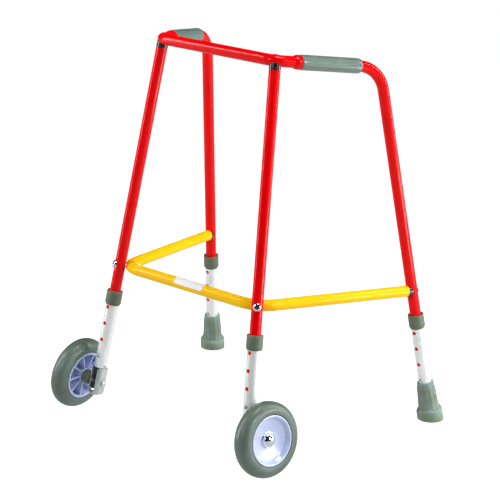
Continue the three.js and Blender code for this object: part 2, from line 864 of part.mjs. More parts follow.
function wheelHub() {
  const rim = tyreBore - gap;
  const bore = axleRadius + gap;
  const webBack = dishOuterFace - webThickness;
  const groove = tyreKeyWidth / 2;
  const grooveFloor = rim - tyreKeyDepth;
  const profile = [
    [bore, -rimHalfWidth],
    [hubBossRadius, -rimHalfWidth],
    [hubBossRadius, webBack],
    [rim - rimWall - 1, webBack],
    [rim - rimWall, -rimHalfWidth],
    [rim, -rimHalfWidth],
    [rim, -groove],
    [grooveFloor, -groove],
    [grooveFloor, groove],
    [rim, groove],
    [rim, rimHalfWidth],
    [rim - 2.5, rimHalfWidth],
    [rim - rimWall - 0.5, rimHalfWidth - 1.5],
    [dishRadius, dishOuterFace + 1],
    [dishRadius - 2, dishOuterFace],
    [bore, dishOuterFace],
  ];
  const ribs = Array.from({ length: ribCount }, (_, index) => {
    const turn = new THREE.Matrix4().makeRotationZ((2 * Math.PI * index) / ribCount);
    const half = ribThickness / 2;
    const low = [hubBossRadius - 1, -half, 2 - rimHalfWidth];
    return block(low, [rim - rimWall + 0.5, half, webBack + 1], turn);
  });
  return joined(turned(profile, wheelSides), ...ribs);
}

// Distances along the axle of the two bracket faces it crosses.
function axle(nutFace) {
  return bar(axleRadius, nutFace - axleNutHeight + 1, dishOuterFace + axleCapHeight / 2, smallSides);
}

function axleCap() {
  const seat = dishOuterFace + gap;
  const bore = axleRadius + gap;
  const boreTop = dishOuterFace + axleCapHeight / 2 + gap;
  const dome = arcPoints(0, 0, 1, 0, Math.PI / 2, domeSteps);
  const profile = [
    [bore, seat],
    [axleCapRadius - 0.6, seat],
    [axleCapRadius, seat + 0.6],
    ...dome.slice(0, -1).map(([x, y]) => [
      1.5 + (axleCapRadius - 2.3) * x,
      seat + 1.4 + (axleCapHeight - 1.4) * y,
    ]),
    [0, seat + axleCapHeight],
    [0, boreTop],
    [bore, boreTop],
  ];
  return turned(profile);
}

function axleNut(nutFace) {
  const bore = axleRadius + gap;
  const profile = [
    [0, nutFace - axleNutHeight],
    [axleNutRadius * 0.7, nutFace - axleNutHeight],
    [axleNutRadius + 0.8, nutFace - axleNutHeight + 1.2],
    [axleNutRadius + 0.8, nutFace],
    [bore, nutFace],
    [bore, nutFace - axleNutHeight + 1 - gap],
    [0, nutFace - axleNutHeight + 1 - gap],
  ];
  return turned(profile, smallSides);
}

function wheelSpacer(bracketFace) {
  const low = bracketFace + gap;
  const high = -rimHalfWidth - gap;
  const bore = axleRadius + gap;
  const outer = hubBossRadius;
  return turned([[bore, low], [outer - 1, low], [outer, low + 1], [outer, high], [bore, high]]);
}

// The wheel's own frame: +Z out along the cambered, toed axle, lowest point on the floor.
function wheelFrame({ sign, toe }) {
  const outboard = new THREE.Vector3(
    sign * Math.cos(camber) * Math.cos(toe),
    -Math.cos(camber) * Math.sin(toe),
    Math.sin(camber),
  );
  const level = new THREE.Vector3(0, 0, 1).cross(outboard).normalize();
  const frame = new THREE.Matrix4().makeBasis(level, outboard.clone().cross(level), outboard);
  const tilted = geometryOf(tyre()).applyMatrix4(frame);
  tilted.computeBoundingBox();
  return frame.setPosition(sign * wheelCentreX, wheelCentreY, -tilted.boundingBox.min.z);
}

// Where the axle line crosses a plane across the leg's own X.
function axleCrossing(axleLine, x) {
  const from = new THREE.Vector3().setFromMatrixPosition(axleLine);
  const direction = new THREE.Vector3().setFromMatrixColumn(axleLine, 2);
  return (x - from.x) / direction.x;
}

// ---------- assembly ----------

const rearSleeveEnd = ferruleFloor + washerThickness + 2 * gap;

const walkingFrame = new THREE.Group();
walkingFrame.add(
  meshOf('top_front_bar', topFrontBar(), redPaint),
  meshOf('stretcher_tube', stretcherTube(), yellowPaint),
  meshOf('bar_label', barLabel(), whiteLabel),
);

for (const side of sides) {
  walkingFrame.add(meshOf(`side_tube_${side.name}`, sideTube(side), redPaint));

  const handle = inFrame(alongLine(side.topCorner, side.handle));
  const gripMesh = meshOf(`grip_${side.name}`, grip(), greyVinyl);
  gripMesh.position.z = topBarReach + gap;
  handle.add(gripMesh);

  const boltGroup = inFrame(boltFrame(side));
  boltGroup.add(
    meshOf(`stretcher_bolt_${side.name}`, stretcherBolt(side), chrome),
    meshOf(`stretcher_nut_${side.name}`, stretcherNut(side), zincSteel),
  );

  const armGroup = inFrame(armFrame(side));
  armGroup.add(
    meshOf(`rear_saddle_${side.name}`, rearSaddle(side), blackPlastic),
    meshOf(`rear_screw_${side.name}`, rearScrew(side), redPaint),
  );

  const frontGroup = inFrame(side.front);
  frontGroup.add(
    meshOf(`front_leg_${side.name}`, frontLegTube(side), redPaint),
    meshOf(`corner_plug_${side.name}`, cornerPlug(side), blackPlastic),
    meshOf(`corner_screw_${side.name}`, cornerScrew(side), redPaint),
    meshOf(`sleeve_front_${side.name}`, frontSleeve(), aluminium),
    meshOf(`collar_front_${side.name}`, collar('front'), collarPlastic),
    meshOf(`snap_button_front_${side.name}`, snapButton(frontButton), chrome),
    meshOf(`snap_spring_front_${side.name}`, snapSpring(frontButton), springSteel),
  );

  const worldWheel = wheelFrame(side);
  const axleLine = side.front.clone().invert().multiply(worldWheel);
  const nutFace = axleCrossing(axleLine, -side.sign * (bracketInboard + gap)) - axleSeatClearance;
  const outboardFace = axleCrossing(axleLine, side.sign * bracketOutboard) + axleSeatClearance;
  frontGroup.add(
    meshOf(`wheel_bracket_${side.name}`, wheelBracket(side.sign, axleLine), zincSteel),
    meshOf(`bracket_core_${side.name}`, bracketCore(side.sign, axleLine), blackPlastic),
    meshOf(`bracket_rivet_${side.name}`, bracketRivet(), zincSteel),
  );
  const wheel = inFrame(axleLine);
  wheel.add(
    meshOf(`tyre_${side.name}`, tyre(), tyreRubber),
    meshOf(`wheel_hub_${side.name}`, wheelHub(), hubPlastic),
    meshOf(`axle_${side.name}`, axle(nutFace), zincSteel),
    meshOf(`axle_cap_${side.name}`, axleCap(), chrome),
    meshOf(`axle_nut_${side.name}`, axleNut(nutFace), zincSteel),
    meshOf(`wheel_spacer_${side.name}`, wheelSpacer(outboardFace), collarPlastic),
  );
  frontGroup.add(wheel);

  const rearGroup = inFrame(side.rear);
  rearGroup.add(
    meshOf(`sleeve_rear_${side.name}`, sleeve('rear', rearSleeveEnd), aluminium),
    meshOf(`collar_rear_${side.name}`, collar('rear'), collarPlastic),
    meshOf(`snap_button_rear_${side.name}`, snapButton(rearButton), chrome),
    meshOf(`snap_spring_rear_${side.name}`, snapSpring(rearButton), springSteel),
    meshOf(`ferrule_${side.name}`, ferrule(side), greyRubber),
    meshOf(`ferrule_washer_${side.name}`, ferruleWasher(), zincSteel),
  );
  walkingFrame.add(handle, boltGroup, armGroup, frontGroup, rearGroup);
}

export default walkingFrame;
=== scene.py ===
import bmesh
import bpy
import json
from math import cos, pi, radians, sin
from mathutils import Matrix, Vector


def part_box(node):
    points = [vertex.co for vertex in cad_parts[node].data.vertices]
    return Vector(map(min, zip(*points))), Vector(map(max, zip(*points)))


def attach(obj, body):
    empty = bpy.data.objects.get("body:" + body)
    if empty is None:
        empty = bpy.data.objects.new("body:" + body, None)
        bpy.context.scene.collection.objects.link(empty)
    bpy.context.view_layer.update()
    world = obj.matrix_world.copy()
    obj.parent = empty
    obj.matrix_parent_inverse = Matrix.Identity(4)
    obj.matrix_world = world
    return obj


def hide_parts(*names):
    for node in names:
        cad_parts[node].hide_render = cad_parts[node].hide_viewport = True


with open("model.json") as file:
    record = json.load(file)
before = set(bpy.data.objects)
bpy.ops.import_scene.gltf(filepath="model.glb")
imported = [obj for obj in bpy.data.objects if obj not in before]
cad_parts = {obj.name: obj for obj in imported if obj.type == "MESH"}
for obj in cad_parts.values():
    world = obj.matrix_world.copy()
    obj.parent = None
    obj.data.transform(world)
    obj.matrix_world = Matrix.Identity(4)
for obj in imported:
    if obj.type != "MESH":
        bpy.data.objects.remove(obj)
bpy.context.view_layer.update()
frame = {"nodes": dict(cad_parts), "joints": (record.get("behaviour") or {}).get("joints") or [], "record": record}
joints = {joint["name"]: joint for joint in frame["joints"]}
mounts = {mount["name"]: mount for mount in frame["record"]["mounts"]}
print("frame loaded:", len(frame["nodes"]), "nodes")

shot = dict(azimuth=41.52, elevation=17.02, roll=1.19, distance=3.322, target=(0, 0.023, 0.28969),
            lens=139.98)


def makeCamera(shot):
    azimuth, elevation, roll = (radians(shot[key]) for key in ("azimuth", "elevation", "roll"))
    back = Vector((sin(azimuth) * cos(elevation), -cos(azimuth) * cos(elevation), sin(elevation)))
    level = Vector((cos(azimuth), sin(azimuth), 0))
    upright = back.cross(level)
    right = level * cos(roll) + upright * sin(roll)
    up = upright * cos(roll) - level * sin(roll)
    data = bpy.data.cameras.new("camera")
    data.lens = shot["lens"]
    data.sensor_width = 36
    camera = bpy.data.objects.new("camera", data)
    camera.matrix_world = Matrix((right, up, back)).transposed().to_4x4()
    camera.location = Vector(shot["target"]) + back * shot["distance"]
    bpy.context.scene.collection.objects.link(camera)
    bpy.context.scene.camera = camera


makeCamera(shot)
print("camera set")


class Link:  # one socket of a graph, with the arithmetic that the finishes use
    def __init__(self, graph, socket):
        self.graph = graph
        self.socket = socket

    def math(self, operation, first, second):
        return self.graph.node("ShaderNodeMath", dict(operation=operation), {0: first, 1: second})

    def __add__(self, other):
        return self.math("ADD", self, other)

    def __mul__(self, other):
        return self.math("MULTIPLY", self, other)

    __radd__ = __add__
    __rmul__ = __mul__


class Graph:  # a node tree, filled by one method
    def __init__(self, tree):
        self.tree = tree

    def pick(self, sockets, name):
        live = [socket for socket in sockets if socket.enabled]
        return live[name] if isinstance(name, int) else next(socket for socket in live if socket.name == name)

    def node(self, kind, settings=None, inputs=None, output=0):
        made = self.tree.nodes.new(kind)
        for name, value in (settings or {}).items():
            setattr(made, name, value)
        for name, value in (inputs or {}).items():
            target = self.pick(made.inputs, name)
            if isinstance(value, Link):
                self.tree.links.new(value.socket, target)
            else:
                target.default_value = value
        return Link(self, self.pick(made.outputs, output)) if made.outputs else made


class Finish(Graph):  # a material whose patterns follow the piece's own grain, or the object
    def __init__(self, name, grain="grain"):
        self.material = bpy.data.materials.new(name)
        self.material.use_nodes = True
        self.material.node_tree.nodes.clear()
        super().__init__(self.material.node_tree)
        if grain:
            self.place = self.node("ShaderNodeAttribute", dict(attribute_name=grain), output="Vector")
        else:
            self.place = self.node("ShaderNodeTexCoord", output="Object")

    def noise(self, scale, detail=3.0, stretch=(1, 1, 1), shift=0.0):
        placed = self.node("ShaderNodeMapping", None,
                           {"Vector": self.place, "Scale": stretch, "Location": (shift,) * 3})
        return self.node("ShaderNodeTexNoise", None, {"Vector": placed, "Scale": scale, "Detail": detail})

    def between(self, factor, low, high):
        return self.node("ShaderNodeMapRange", None, {"Value": factor, 1: low, 2: high})

    def mix(self, factor, first, second):
        colors = [color if isinstance(color, Link) else (*color, 1) for color in (first, second)]
        return self.node("ShaderNodeMix", dict(data_type="RGBA"),
                         {"Factor": factor, "A": colors[0], "B": colors[1]})

    def bump(self, height, distance, under=None):
        inputs = {"Height": height, "Distance": distance, "Strength": 1.0}
        if under:
            inputs["Normal"] = under
        return self.node("ShaderNodeBump", None, inputs)

    def shade(self, **inputs):
        named = {name.replace("_", " "): value for name, value in inputs.items()}
        shader = self.node("ShaderNodeBsdfPrincipled", None, named)
        self.node("ShaderNodeOutputMaterial", None, {"Surface": shader})
        return self.material


def lacquer(name, look):
    f = Finish(name)
    drift = f.between(f.noise(look["driftScale"], 2), 0.35, 0.7)
    color = f.mix(drift, look["color"], look["deep"])
    scuff = f.between(f.noise(260, 6, (1, 1, 0.12), 3.0), 0.66, 0.74)
    patch = f.between(f.noise(17, 2, shift=9.0), 0.5, 0.66)
    worn = scuff * patch
    color = f.mix(worn * look["wear"], color, look["scuff"])
    peel = f.bump(f.noise(look["peelScale"], 2), look["peel"])
    return f.shade(
        Base_Color=color,
        Roughness=f.noise(40, 4) * 0.12 + worn * 0.25 + look["roughness"],
        Normal=f.bump(f.noise(30, 1), look["wave"], under=peel),
        Coat_Weight=look["coat"],
        Coat_Roughness=look["coatRoughness"],
        Specular_IOR_Level=look["specular"],
    )


def moulding(name, look):
    f = Finish(name)
    drift = f.between(f.noise(look["driftScale"], 4), 0.3, 0.72)
    color = f.mix(drift, look["color"], look["deep"])
    specks = f.between(f.noise(900, 2, shift=5.0), 0.62, 0.75)
    color = f.mix(specks * look["speck"], color, look["pale"])
    rub = f.between(f.noise(60, 5, shift=2.0), 0.58, 0.75)
    color = f.mix(rub * look["rub"], color, look["pale"])
    texture = f.bump(f.noise(look["textureScale"], 3), look["texture"])
    return f.shade(
        Base_Color=color,
        Roughness=f.noise(110, 4) * 0.14 + rub * 0.1 + look["roughness"],
        Normal=f.bump(f.noise(45, 2), look["wave"], under=texture),
        Coat_Weight=look["coat"],
        Coat_Roughness=0.18,
        Specular_IOR_Level=look["specular"],
    )


def metal(name, look):
    f = Finish(name, look.get("grain", "grain"))
    drawn = f.noise(look["lineScale"], 4, look["stretch"])
    cloud = f.between(f.noise(30, 3, shift=4.0), 0.3, 0.75)
    color = f.mix(cloud, look["color"], look["deep"])
    color = f.mix(f.between(drawn, 0.55, 0.8) * look["streak"], color, look["deep"])
    return f.shade(
        Base_Color=color,
        Metallic=look["metallic"],
        Roughness=drawn * look["lineRoughness"] + cloud * 0.05 + look["roughness"],
        Normal=f.bump(drawn, look["lines"]),
    )


paint = dict(driftScale=14, wear=0.35, peelScale=700, peel=0.00001, wave=0.00003, roughness=0.2, coat=0.26,
             coatRoughness=0.05, specular=0.07)
plastic = dict(driftScale=60, speck=0.12, rub=0.25, textureScale=1200, texture=0.00003, wave=0.00004,
               roughness=0.4, coat=0.0, specular=0.5)
steel = dict(lineScale=500, stretch=(1, 1, 0.05), streak=0.3, metallic=1.0, lineRoughness=0.12,
             roughness=0.18, lines=0.00001)

redLacquer = lacquer("redLacquer", dict(
    paint, color=(0.88, 0.0006, 0.002), deep=(0.74, 0.0004, 0.0014), scuff=(0.42, 0.004, 0.005)))
yellowLacquer = lacquer("yellowLacquer", dict(
    paint, color=(1.0, 0.60, 0.004), deep=(0.98, 0.53, 0.0035), scuff=(0.80, 0.45, 0.02), coat=0.15))
gripVinyl = moulding("gripVinyl", dict(
    plastic, color=(0.155, 0.23, 0.195), deep=(0.12, 0.18, 0.15), pale=(0.34, 0.42, 0.38), roughness=0.26,
    coat=0.6, driftScale=35))
collarPlastic = moulding("collarPlastic", dict(
    plastic, color=(0.135, 0.165, 0.105), deep=(0.10, 0.125, 0.08), pale=(0.28, 0.32, 0.24), roughness=0.42))
ferruleRubber = moulding("ferruleRubber", dict(
    plastic, color=(0.215, 0.31, 0.285), deep=(0.165, 0.205, 0.125), pale=(0.38, 0.45, 0.41),
    roughness=0.55, speck=0.3, rub=0.4, texture=0.00006))
tyreRubber = moulding("tyreRubber", dict(
    plastic, color=(0.12, 0.185, 0.16), deep=(0.085, 0.115, 0.08), pale=(0.23, 0.29, 0.255), roughness=0.34,
    coat=0.15, rub=0.35, driftScale=25, texture=0.00004))
hubPlastic = moulding("hubPlastic", dict(
    plastic, color=(0.55, 0.63, 0.90), deep=(0.49, 0.57, 0.85), pale=(0.74, 0.80, 0.95), roughness=0.12,
    coat=1.0, speck=0.05))
blackPlastic = moulding("blackPlastic", dict(
    plastic, color=(0.006, 0.006, 0.007), deep=(0.004, 0.004, 0.005), pale=(0.05, 0.05, 0.05), roughness=0.16,
    coat=0.5, speck=0.05, rub=0.1))
labelVinyl = moulding("labelVinyl", dict(
    plastic, color=(0.88, 0.90, 0.89), deep=(0.82, 0.84, 0.83), pale=(0.70, 0.72, 0.70), roughness=0.35))
tubeAluminium = metal("tubeAluminium", dict(
    steel, color=(0.96, 1.0, 0.985), deep=(0.88, 0.93, 0.92), roughness=0.16, streak=0.12, metallic=0.35,
    lines=0.000003))
mirrorChrome = metal("mirrorChrome", dict(
    steel, color=(0.80, 0.82, 0.84), deep=(0.74, 0.76, 0.78), roughness=0.03, lineRoughness=0.04, streak=0.1,
    lines=0.000002))
zincPlate = metal("zincPlate", dict(
    steel, color=(0.80, 0.84, 0.83), deep=(0.62, 0.66, 0.65), roughness=0.2, streak=0.4, metallic=0.6))
satinChrome = metal("satinChrome", dict(
    steel, color=(0.50, 0.56, 0.52), deep=(0.36, 0.40, 0.37), roughness=0.32, streak=0.2))
innerSteel = metal("innerSteel", dict(
    steel, color=(0.45, 0.46, 0.48), deep=(0.35, 0.36, 0.38), roughness=0.25, grain=None))
print("finishes made")

detail = dict(tubeSides=64, roundSides=96, wheelSides=160, cornerSteps=5, bendSteps=28, sharp=32)


def softened(profile, hollow):  # [radius, height, fillet] corners, with each fillet drawn as a short curve
    points = []
    for index, corner in enumerate(profile):
        point = Vector(corner[:2])
        atEnd = not hollow and index in (0, len(profile) - 1)
        if len(corner) == 2 or atEnd:
            points.append(point)
            continue
        before = Vector(profile[index - 1][:2]) - point
        after = Vector(profile[(index + 1) % len(profile)][:2]) - point
        start = point + before.normalized() * min(corner[2], before.length * 0.48)
        end = point + after.normalized() * min(corner[2], after.length * 0.48)
        for step in range(detail["cornerSteps"] + 1):
            share = step / detail["cornerSteps"]
            points.append(start * (1 - share) ** 2 + point * 2 * share * (1 - share) + end * share ** 2)
    return points


def meshFrom(bm):
    bmesh.ops.remove_doubles(bm, verts=bm.verts, dist=1e-7)
    bmesh.ops.recalc_face_normals(bm, faces=bm.faces)
    mesh = bpy.data.meshes.new("made")
    bm.to_mesh(mesh)
    bm.free()
    return mesh


def turned(profile, sides=None):  # a profile spun about +Z; one that leaves the axis closes on itself
    sides = sides or detail["roundSides"]
    hollow = profile[0][0] > 0
    bm = bmesh.new()
    rings = []
    for radius, height in softened(profile, hollow):
        angles = [2 * pi * side / sides for side in range(sides)] if radius > 1e-9 else [0]
        rings.append([bm.verts.new((radius * cos(angle), radius * sin(angle), height)) for angle in angles])
    for low, high in zip(rings, rings[1:] + rings[:1] if hollow else rings[1:]):
        for side in range(sides):
            after = (side + 1) % sides
            corners = [low[side % len(low)], low[after % len(low)], high[after % len(high)],
                       high[side % len(high)]]
            corners = list(dict.fromkeys(corners))
            if len(corners) > 2:
                bm.faces.new(corners)
    return meshFrom(bm)


def extruded(outline, low, high):  # a flat outline in X and Z, drawn out along Y
    bm = bmesh.new()
    near = [bm.verts.new((x, low, z)) for x, z in outline]
    far = [bm.verts.new((x, high, z)) for x, z in outline]
    bm.faces.new(near)
    bm.faces.new(far[::-1])
    for index in range(len(outline)):
        after = (index + 1) % len(outline)
        bm.faces.new((near[index], far[index], far[after], near[after]))
    return meshFrom(bm)


def arc(centreX, centreY, radius, start, end, steps):
    angles = [radians(start + (end - start) * step / steps) for step in range(steps + 1)]
    return [(centreX + radius * cos(angle), centreY + radius * sin(angle)) for angle in angles]


def withRoundEdges(mesh, width, chosen=None, segments=4):  # bevels the edges that a test picks
    bm = bmesh.new()
    bm.from_mesh(mesh)
    edges = [edge for edge in bm.edges if edge.calc_face_angle(0) > 0.5 and (chosen is None or chosen(edge))]
    bmesh.ops.bevel(bm, geom=edges, offset=width, segments=segments, profile=0.5, affect="EDGES")
    return meshFrom(bm)


def evaluated(holder):  # the plain mesh that an object's modifiers give
    bpy.context.scene.collection.objects.link(holder)
    bpy.context.view_layer.update()
    graph = bpy.context.evaluated_depsgraph_get()
    mesh = bpy.data.meshes.new_from_object(holder.evaluated_get(graph), depsgraph=graph)
    bpy.data.objects.remove(holder)
    return mesh


def carved(mesh, cutters):  # a mesh less every cutter
    holder = bpy.data.objects.new("carving", mesh)
    tools = []
    for cutter in cutters:
        tool = bpy.data.objects.new("tool", cutter)
        bpy.context.scene.collection.objects.link(tool)
        tools.append(tool)
        modifier = holder.modifiers.new("carve", "BOOLEAN")
        modifier.operation = "DIFFERENCE"
        modifier.solver = "EXACT"
        modifier.object = tool
    result = evaluated(holder)
    for tool in tools:
        bpy.data.objects.remove(tool)
    return result


def moved(mesh, matrix):
    copy = mesh.copy()
    copy.transform(matrix)
    return copy


def grained(mesh):  # keeps each point's place in the piece's own frame, for its finish
    if "grain" not in mesh.attributes:
        grain = mesh.attributes.new("grain", "FLOAT_VECTOR", "POINT")
        places = [0.0] * (3 * len(mesh.vertices))
        mesh.vertices.foreach_get("co", places)
        grain.data.foreach_set("vector", places)
    return mesh


def rounded(mesh):  # true cylinder normals on a mesh cut from a tube about +Z
    mesh.polygons.foreach_set("use_smooth", [True] * len(mesh.polygons))
    normals = [Vector(corner.vector) for corner in mesh.corner_normals]
    for face in mesh.polygons:
        for loop in face.loop_indices:
            place = mesh.vertices[mesh.loops[loop].vertex_index].co
            outward = Vector((place.x, place.y, 0)).normalized()
            facing = face.normal.dot(outward)
            normals[loop] = outward * (1 if facing > 0 else -1) if abs(facing) > 0.95 else face.normal.copy()
    return normals


def crease(mesh, angle):
    bm = bmesh.new()
    bm.from_mesh(mesh)
    for face in bm.faces:
        face.smooth = True
    for edge in bm.edges:
        edge.smooth = edge.calc_face_angle(0) < radians(angle)
    bm.to_mesh(mesh)
    bm.free()


def place(name, mesh, matrix, finish, slot, body, cylinder=False):  # a finished piece, on its body
    grained(mesh)
    mesh.materials.clear()
    mesh.materials.append(finish)
    crease(mesh, detail["sharp"])
    if cylinder:
        normals = rounded(mesh)
        turn = matrix.to_3x3()
        mesh.transform(matrix)
        mesh.normals_split_custom_set([turn @ normal for normal in normals])
    else:
        mesh.transform(matrix)
    mesh.name = name
    piece = bpy.data.objects.new(name + "_look", mesh)
    bpy.context.scene.collection.objects.link(piece)
    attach(piece, body)
    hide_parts(name)


def geometryTree(name, sizes):  # an empty tree with a geometry socket and named sizes
    tree = bpy.data.node_groups.new(name, "GeometryNodeTree")
    tree.interface.new_socket("Geometry", in_out="INPUT", socket_type="NodeSocketGeometry")
    for label, kind in sizes.items():
        tree.interface.new_socket(label, in_out="INPUT", socket_type="NodeSocket" + kind)
    tree.interface.new_socket("Geometry", in_out="OUTPUT", socket_type="NodeSocketGeometry")
    graph = Graph(tree)
    source = tree.nodes.new("NodeGroupInput")
    return tree, graph, {socket.name: Link(graph, socket) for socket in source.outputs if socket.name}


def closeTree(graph, shape, finish):
    solid = graph.node("GeometryNodeRealizeInstances", None, {"Geometry": shape})
    done = graph.node("GeometryNodeSetMaterial", None, {"Geometry": solid, "Material": finish})
    graph.node("NodeGroupOutput", None, {"Geometry": done})


def grownFrom(mesh, tree, sizes):  # the mesh that a tree makes from another mesh
    holder = bpy.data.objects.new("grown", mesh)
    modifier = holder.modifiers.new(tree.name, "NODES")
    modifier.node_group = tree
    for item in tree.interface.items_tree:
        if item.in_out == "INPUT" and item.name in sizes:
            modifier[item.identifier] = sizes[item.name]
    return evaluated(holder)


def makeTubeTree():  # a round tube along a line of corners, each bent to one radius
    tree, graph, given = geometryTree("bentTube", {
        "Tube Radius": "Float", "Bend Radius": "Float", "Bend Steps": "Int", "Facets": "Int",
        "Finish": "Material"})
    line = graph.node("GeometryNodeMeshToCurve", None, {"Mesh": given["Geometry"]})
    bent = graph.node("GeometryNodeFilletCurve", dict(mode="POLY"), {
        "Curve": line, "Count": given["Bend Steps"], "Radius": given["Bend Radius"]})
    along = graph.node("GeometryNodeSplineParameter", output="Length")
    bent = graph.node("GeometryNodeStoreNamedAttribute", dict(data_type="FLOAT", domain="POINT"), {
        "Geometry": bent, "Name": "along", "Value": along})
    ring = graph.node("GeometryNodeCurvePrimitiveCircle", dict(mode="RADIUS"), {
        "Resolution": given["Facets"], "Radius": given["Tube Radius"]})
    ring = graph.node("GeometryNodeStoreNamedAttribute", dict(data_type="FLOAT_VECTOR", domain="POINT"), {
        "Geometry": ring, "Name": "grain", "Value": graph.node("GeometryNodeInputPosition")})
    skin = graph.node("GeometryNodeCurveToMesh", None,
                      {"Curve": bent, "Profile Curve": ring, "Fill Caps": True})
    length = graph.node("GeometryNodeInputNamedAttribute", dict(data_type="FLOAT"), {"Name": "along"})
    around = graph.node("GeometryNodeInputNamedAttribute", dict(data_type="FLOAT_VECTOR"), {"Name": "grain"})
    upward = graph.node("ShaderNodeCombineXYZ", None, {"Z": length})
    grain = graph.node("ShaderNodeVectorMath", dict(operation="ADD"), {0: around, 1: upward})
    skin = graph.node("GeometryNodeStoreNamedAttribute", dict(data_type="FLOAT_VECTOR", domain="POINT"), {
        "Geometry": skin, "Name": "grain", "Value": grain})
    closeTree(graph, skin, given["Finish"])
    return tree


def makeRingTree():  # copies of a shape, evenly spaced round +Z
    tree, graph, given = geometryTree("ringOf", {"Count": "Int", "Finish": "Material"})
    spots = graph.node("GeometryNodePoints", None, {"Count": given["Count"]})
    share = graph.node("ShaderNodeMath", dict(operation="DIVIDE"), {0: 2 * pi, 1: given["Count"]})
    angle = graph.node("GeometryNodeInputIndex") * share
    turn = graph.node("ShaderNodeCombineXYZ", None, {"Z": angle})
    copies = graph.node("GeometryNodeInstanceOnPoints", None, {
        "Points": spots, "Instance": given["Geometry"], "Rotation": turn})
    closeTree(graph, copies, given["Finish"])
    return tree


def makeHoleTree():  # a row of round holes through the front wall, up +Z
    tree, graph, given = geometryTree("holeRow", {
        "Count": "Int", "Pitch": "Float", "First": "Float", "Hole Radius": "Float", "Reach": "Float",
        "Finish": "Material"})
    start = graph.node("ShaderNodeCombineXYZ", None, {"Y": given["Reach"] * -0.5, "Z": given["First"]})
    step = graph.node("ShaderNodeCombineXYZ", None, {"Z": given["Pitch"]})
    row = graph.node("GeometryNodeMeshLine", dict(mode="OFFSET"), {
        "Count": given["Count"], "Start Location": start, "Offset": step})
    drill = graph.node("GeometryNodeMeshCylinder", None, {
        "Vertices": 40, "Radius": given["Hole Radius"], "Depth": given["Reach"]})
    drills = graph.node("GeometryNodeInstanceOnPoints", None, {
        "Points": row, "Instance": drill, "Rotation": (pi / 2, 0, 0)})
    drills = graph.node("GeometryNodeRealizeInstances", None, {"Geometry": drills})
    holed = graph.node("GeometryNodeMeshBoolean", dict(operation="DIFFERENCE", solver="EXACT"), {
        "Mesh 1": given["Geometry"], "Mesh 2": drills})
    closeTree(graph, holed, given["Finish"])
    return tree


tubeTree = makeTubeTree()
ringTree = makeRingTree()
holeTree = makeHoleTree()


def lineMesh(points):
    mesh = bpy.data.meshes.new("line")
    mesh.from_pydata([tuple(point) for point in points], [(i, i + 1) for i in range(len(points) - 1)], [])
    return mesh


def tubeMesh(corners, radius, bend=0.0, finish=None):
    return grownFrom(lineMesh(corners), tubeTree, {
        "Tube Radius": radius, "Bend Radius": bend, "Bend Steps": detail["bendSteps"],
        "Facets": detail["tubeSides"], "Finish": finish})


def ringMesh(mesh, count, finish=None):
    return grownFrom(mesh, ringTree, {"Count": count, "Finish": finish})


def joinedMesh(*meshes):
    bm = bmesh.new()
    for mesh in meshes:
        grained(mesh)
        bm.from_mesh(mesh)
    mesh = bpy.data.meshes.new("joined")
    bm.to_mesh(mesh)
    bm.free()
    return mesh


print("trees made")

sizes = dict(
    tube=0.009525, wall=0.0015, sleeve=0.0111, gap=0.0003, topHeight=0.6492, handleRearHeight=0.6235,
    topBend=0.025,
    handleBend=0.054, topReach=0.046, bellLength=0.008, stretcherFront=0.2626, stretcherRear=0.236,
    stretcherBend=0.045, stretcherGap=0.0027, plugHeight=0.0055, frontLegEnd=0.097, rearLegEnd=0.0528,
    legStub=0.04)  # half the length of leg that a cut is made from


def legMatrix(foot, axis):  # a leg's own frame: origin on the floor, +Z up the leg, -Y the front
    back = (Vector((0, 1, 0)) - axis * axis.y).normalized()
    matrix = Matrix((back.cross(axis), back, axis)).transposed().to_4x4()
    matrix.translation = foot
    return matrix


def lineMatrix(origin, direction):  # +Z laid along a line
    matrix = Vector((0, 0, 1)).rotation_difference(direction).to_matrix().to_4x4()
    matrix.translation = origin
    return matrix


def upLeg(matrix, height):
    return matrix @ Vector((0, 0, height / matrix[2][2]))


def bentCorner(middle, arriving, end, bend):  # the corner whose rounded bend passes through a point
    corner = middle.copy()
    for _ in range(6):
        away = (end - corner).normalized()
        half = away.angle(arriving) / 2
        corner = middle + (away - arriving).normalized() * bend * (1 - 1 / cos(half))
    return corner


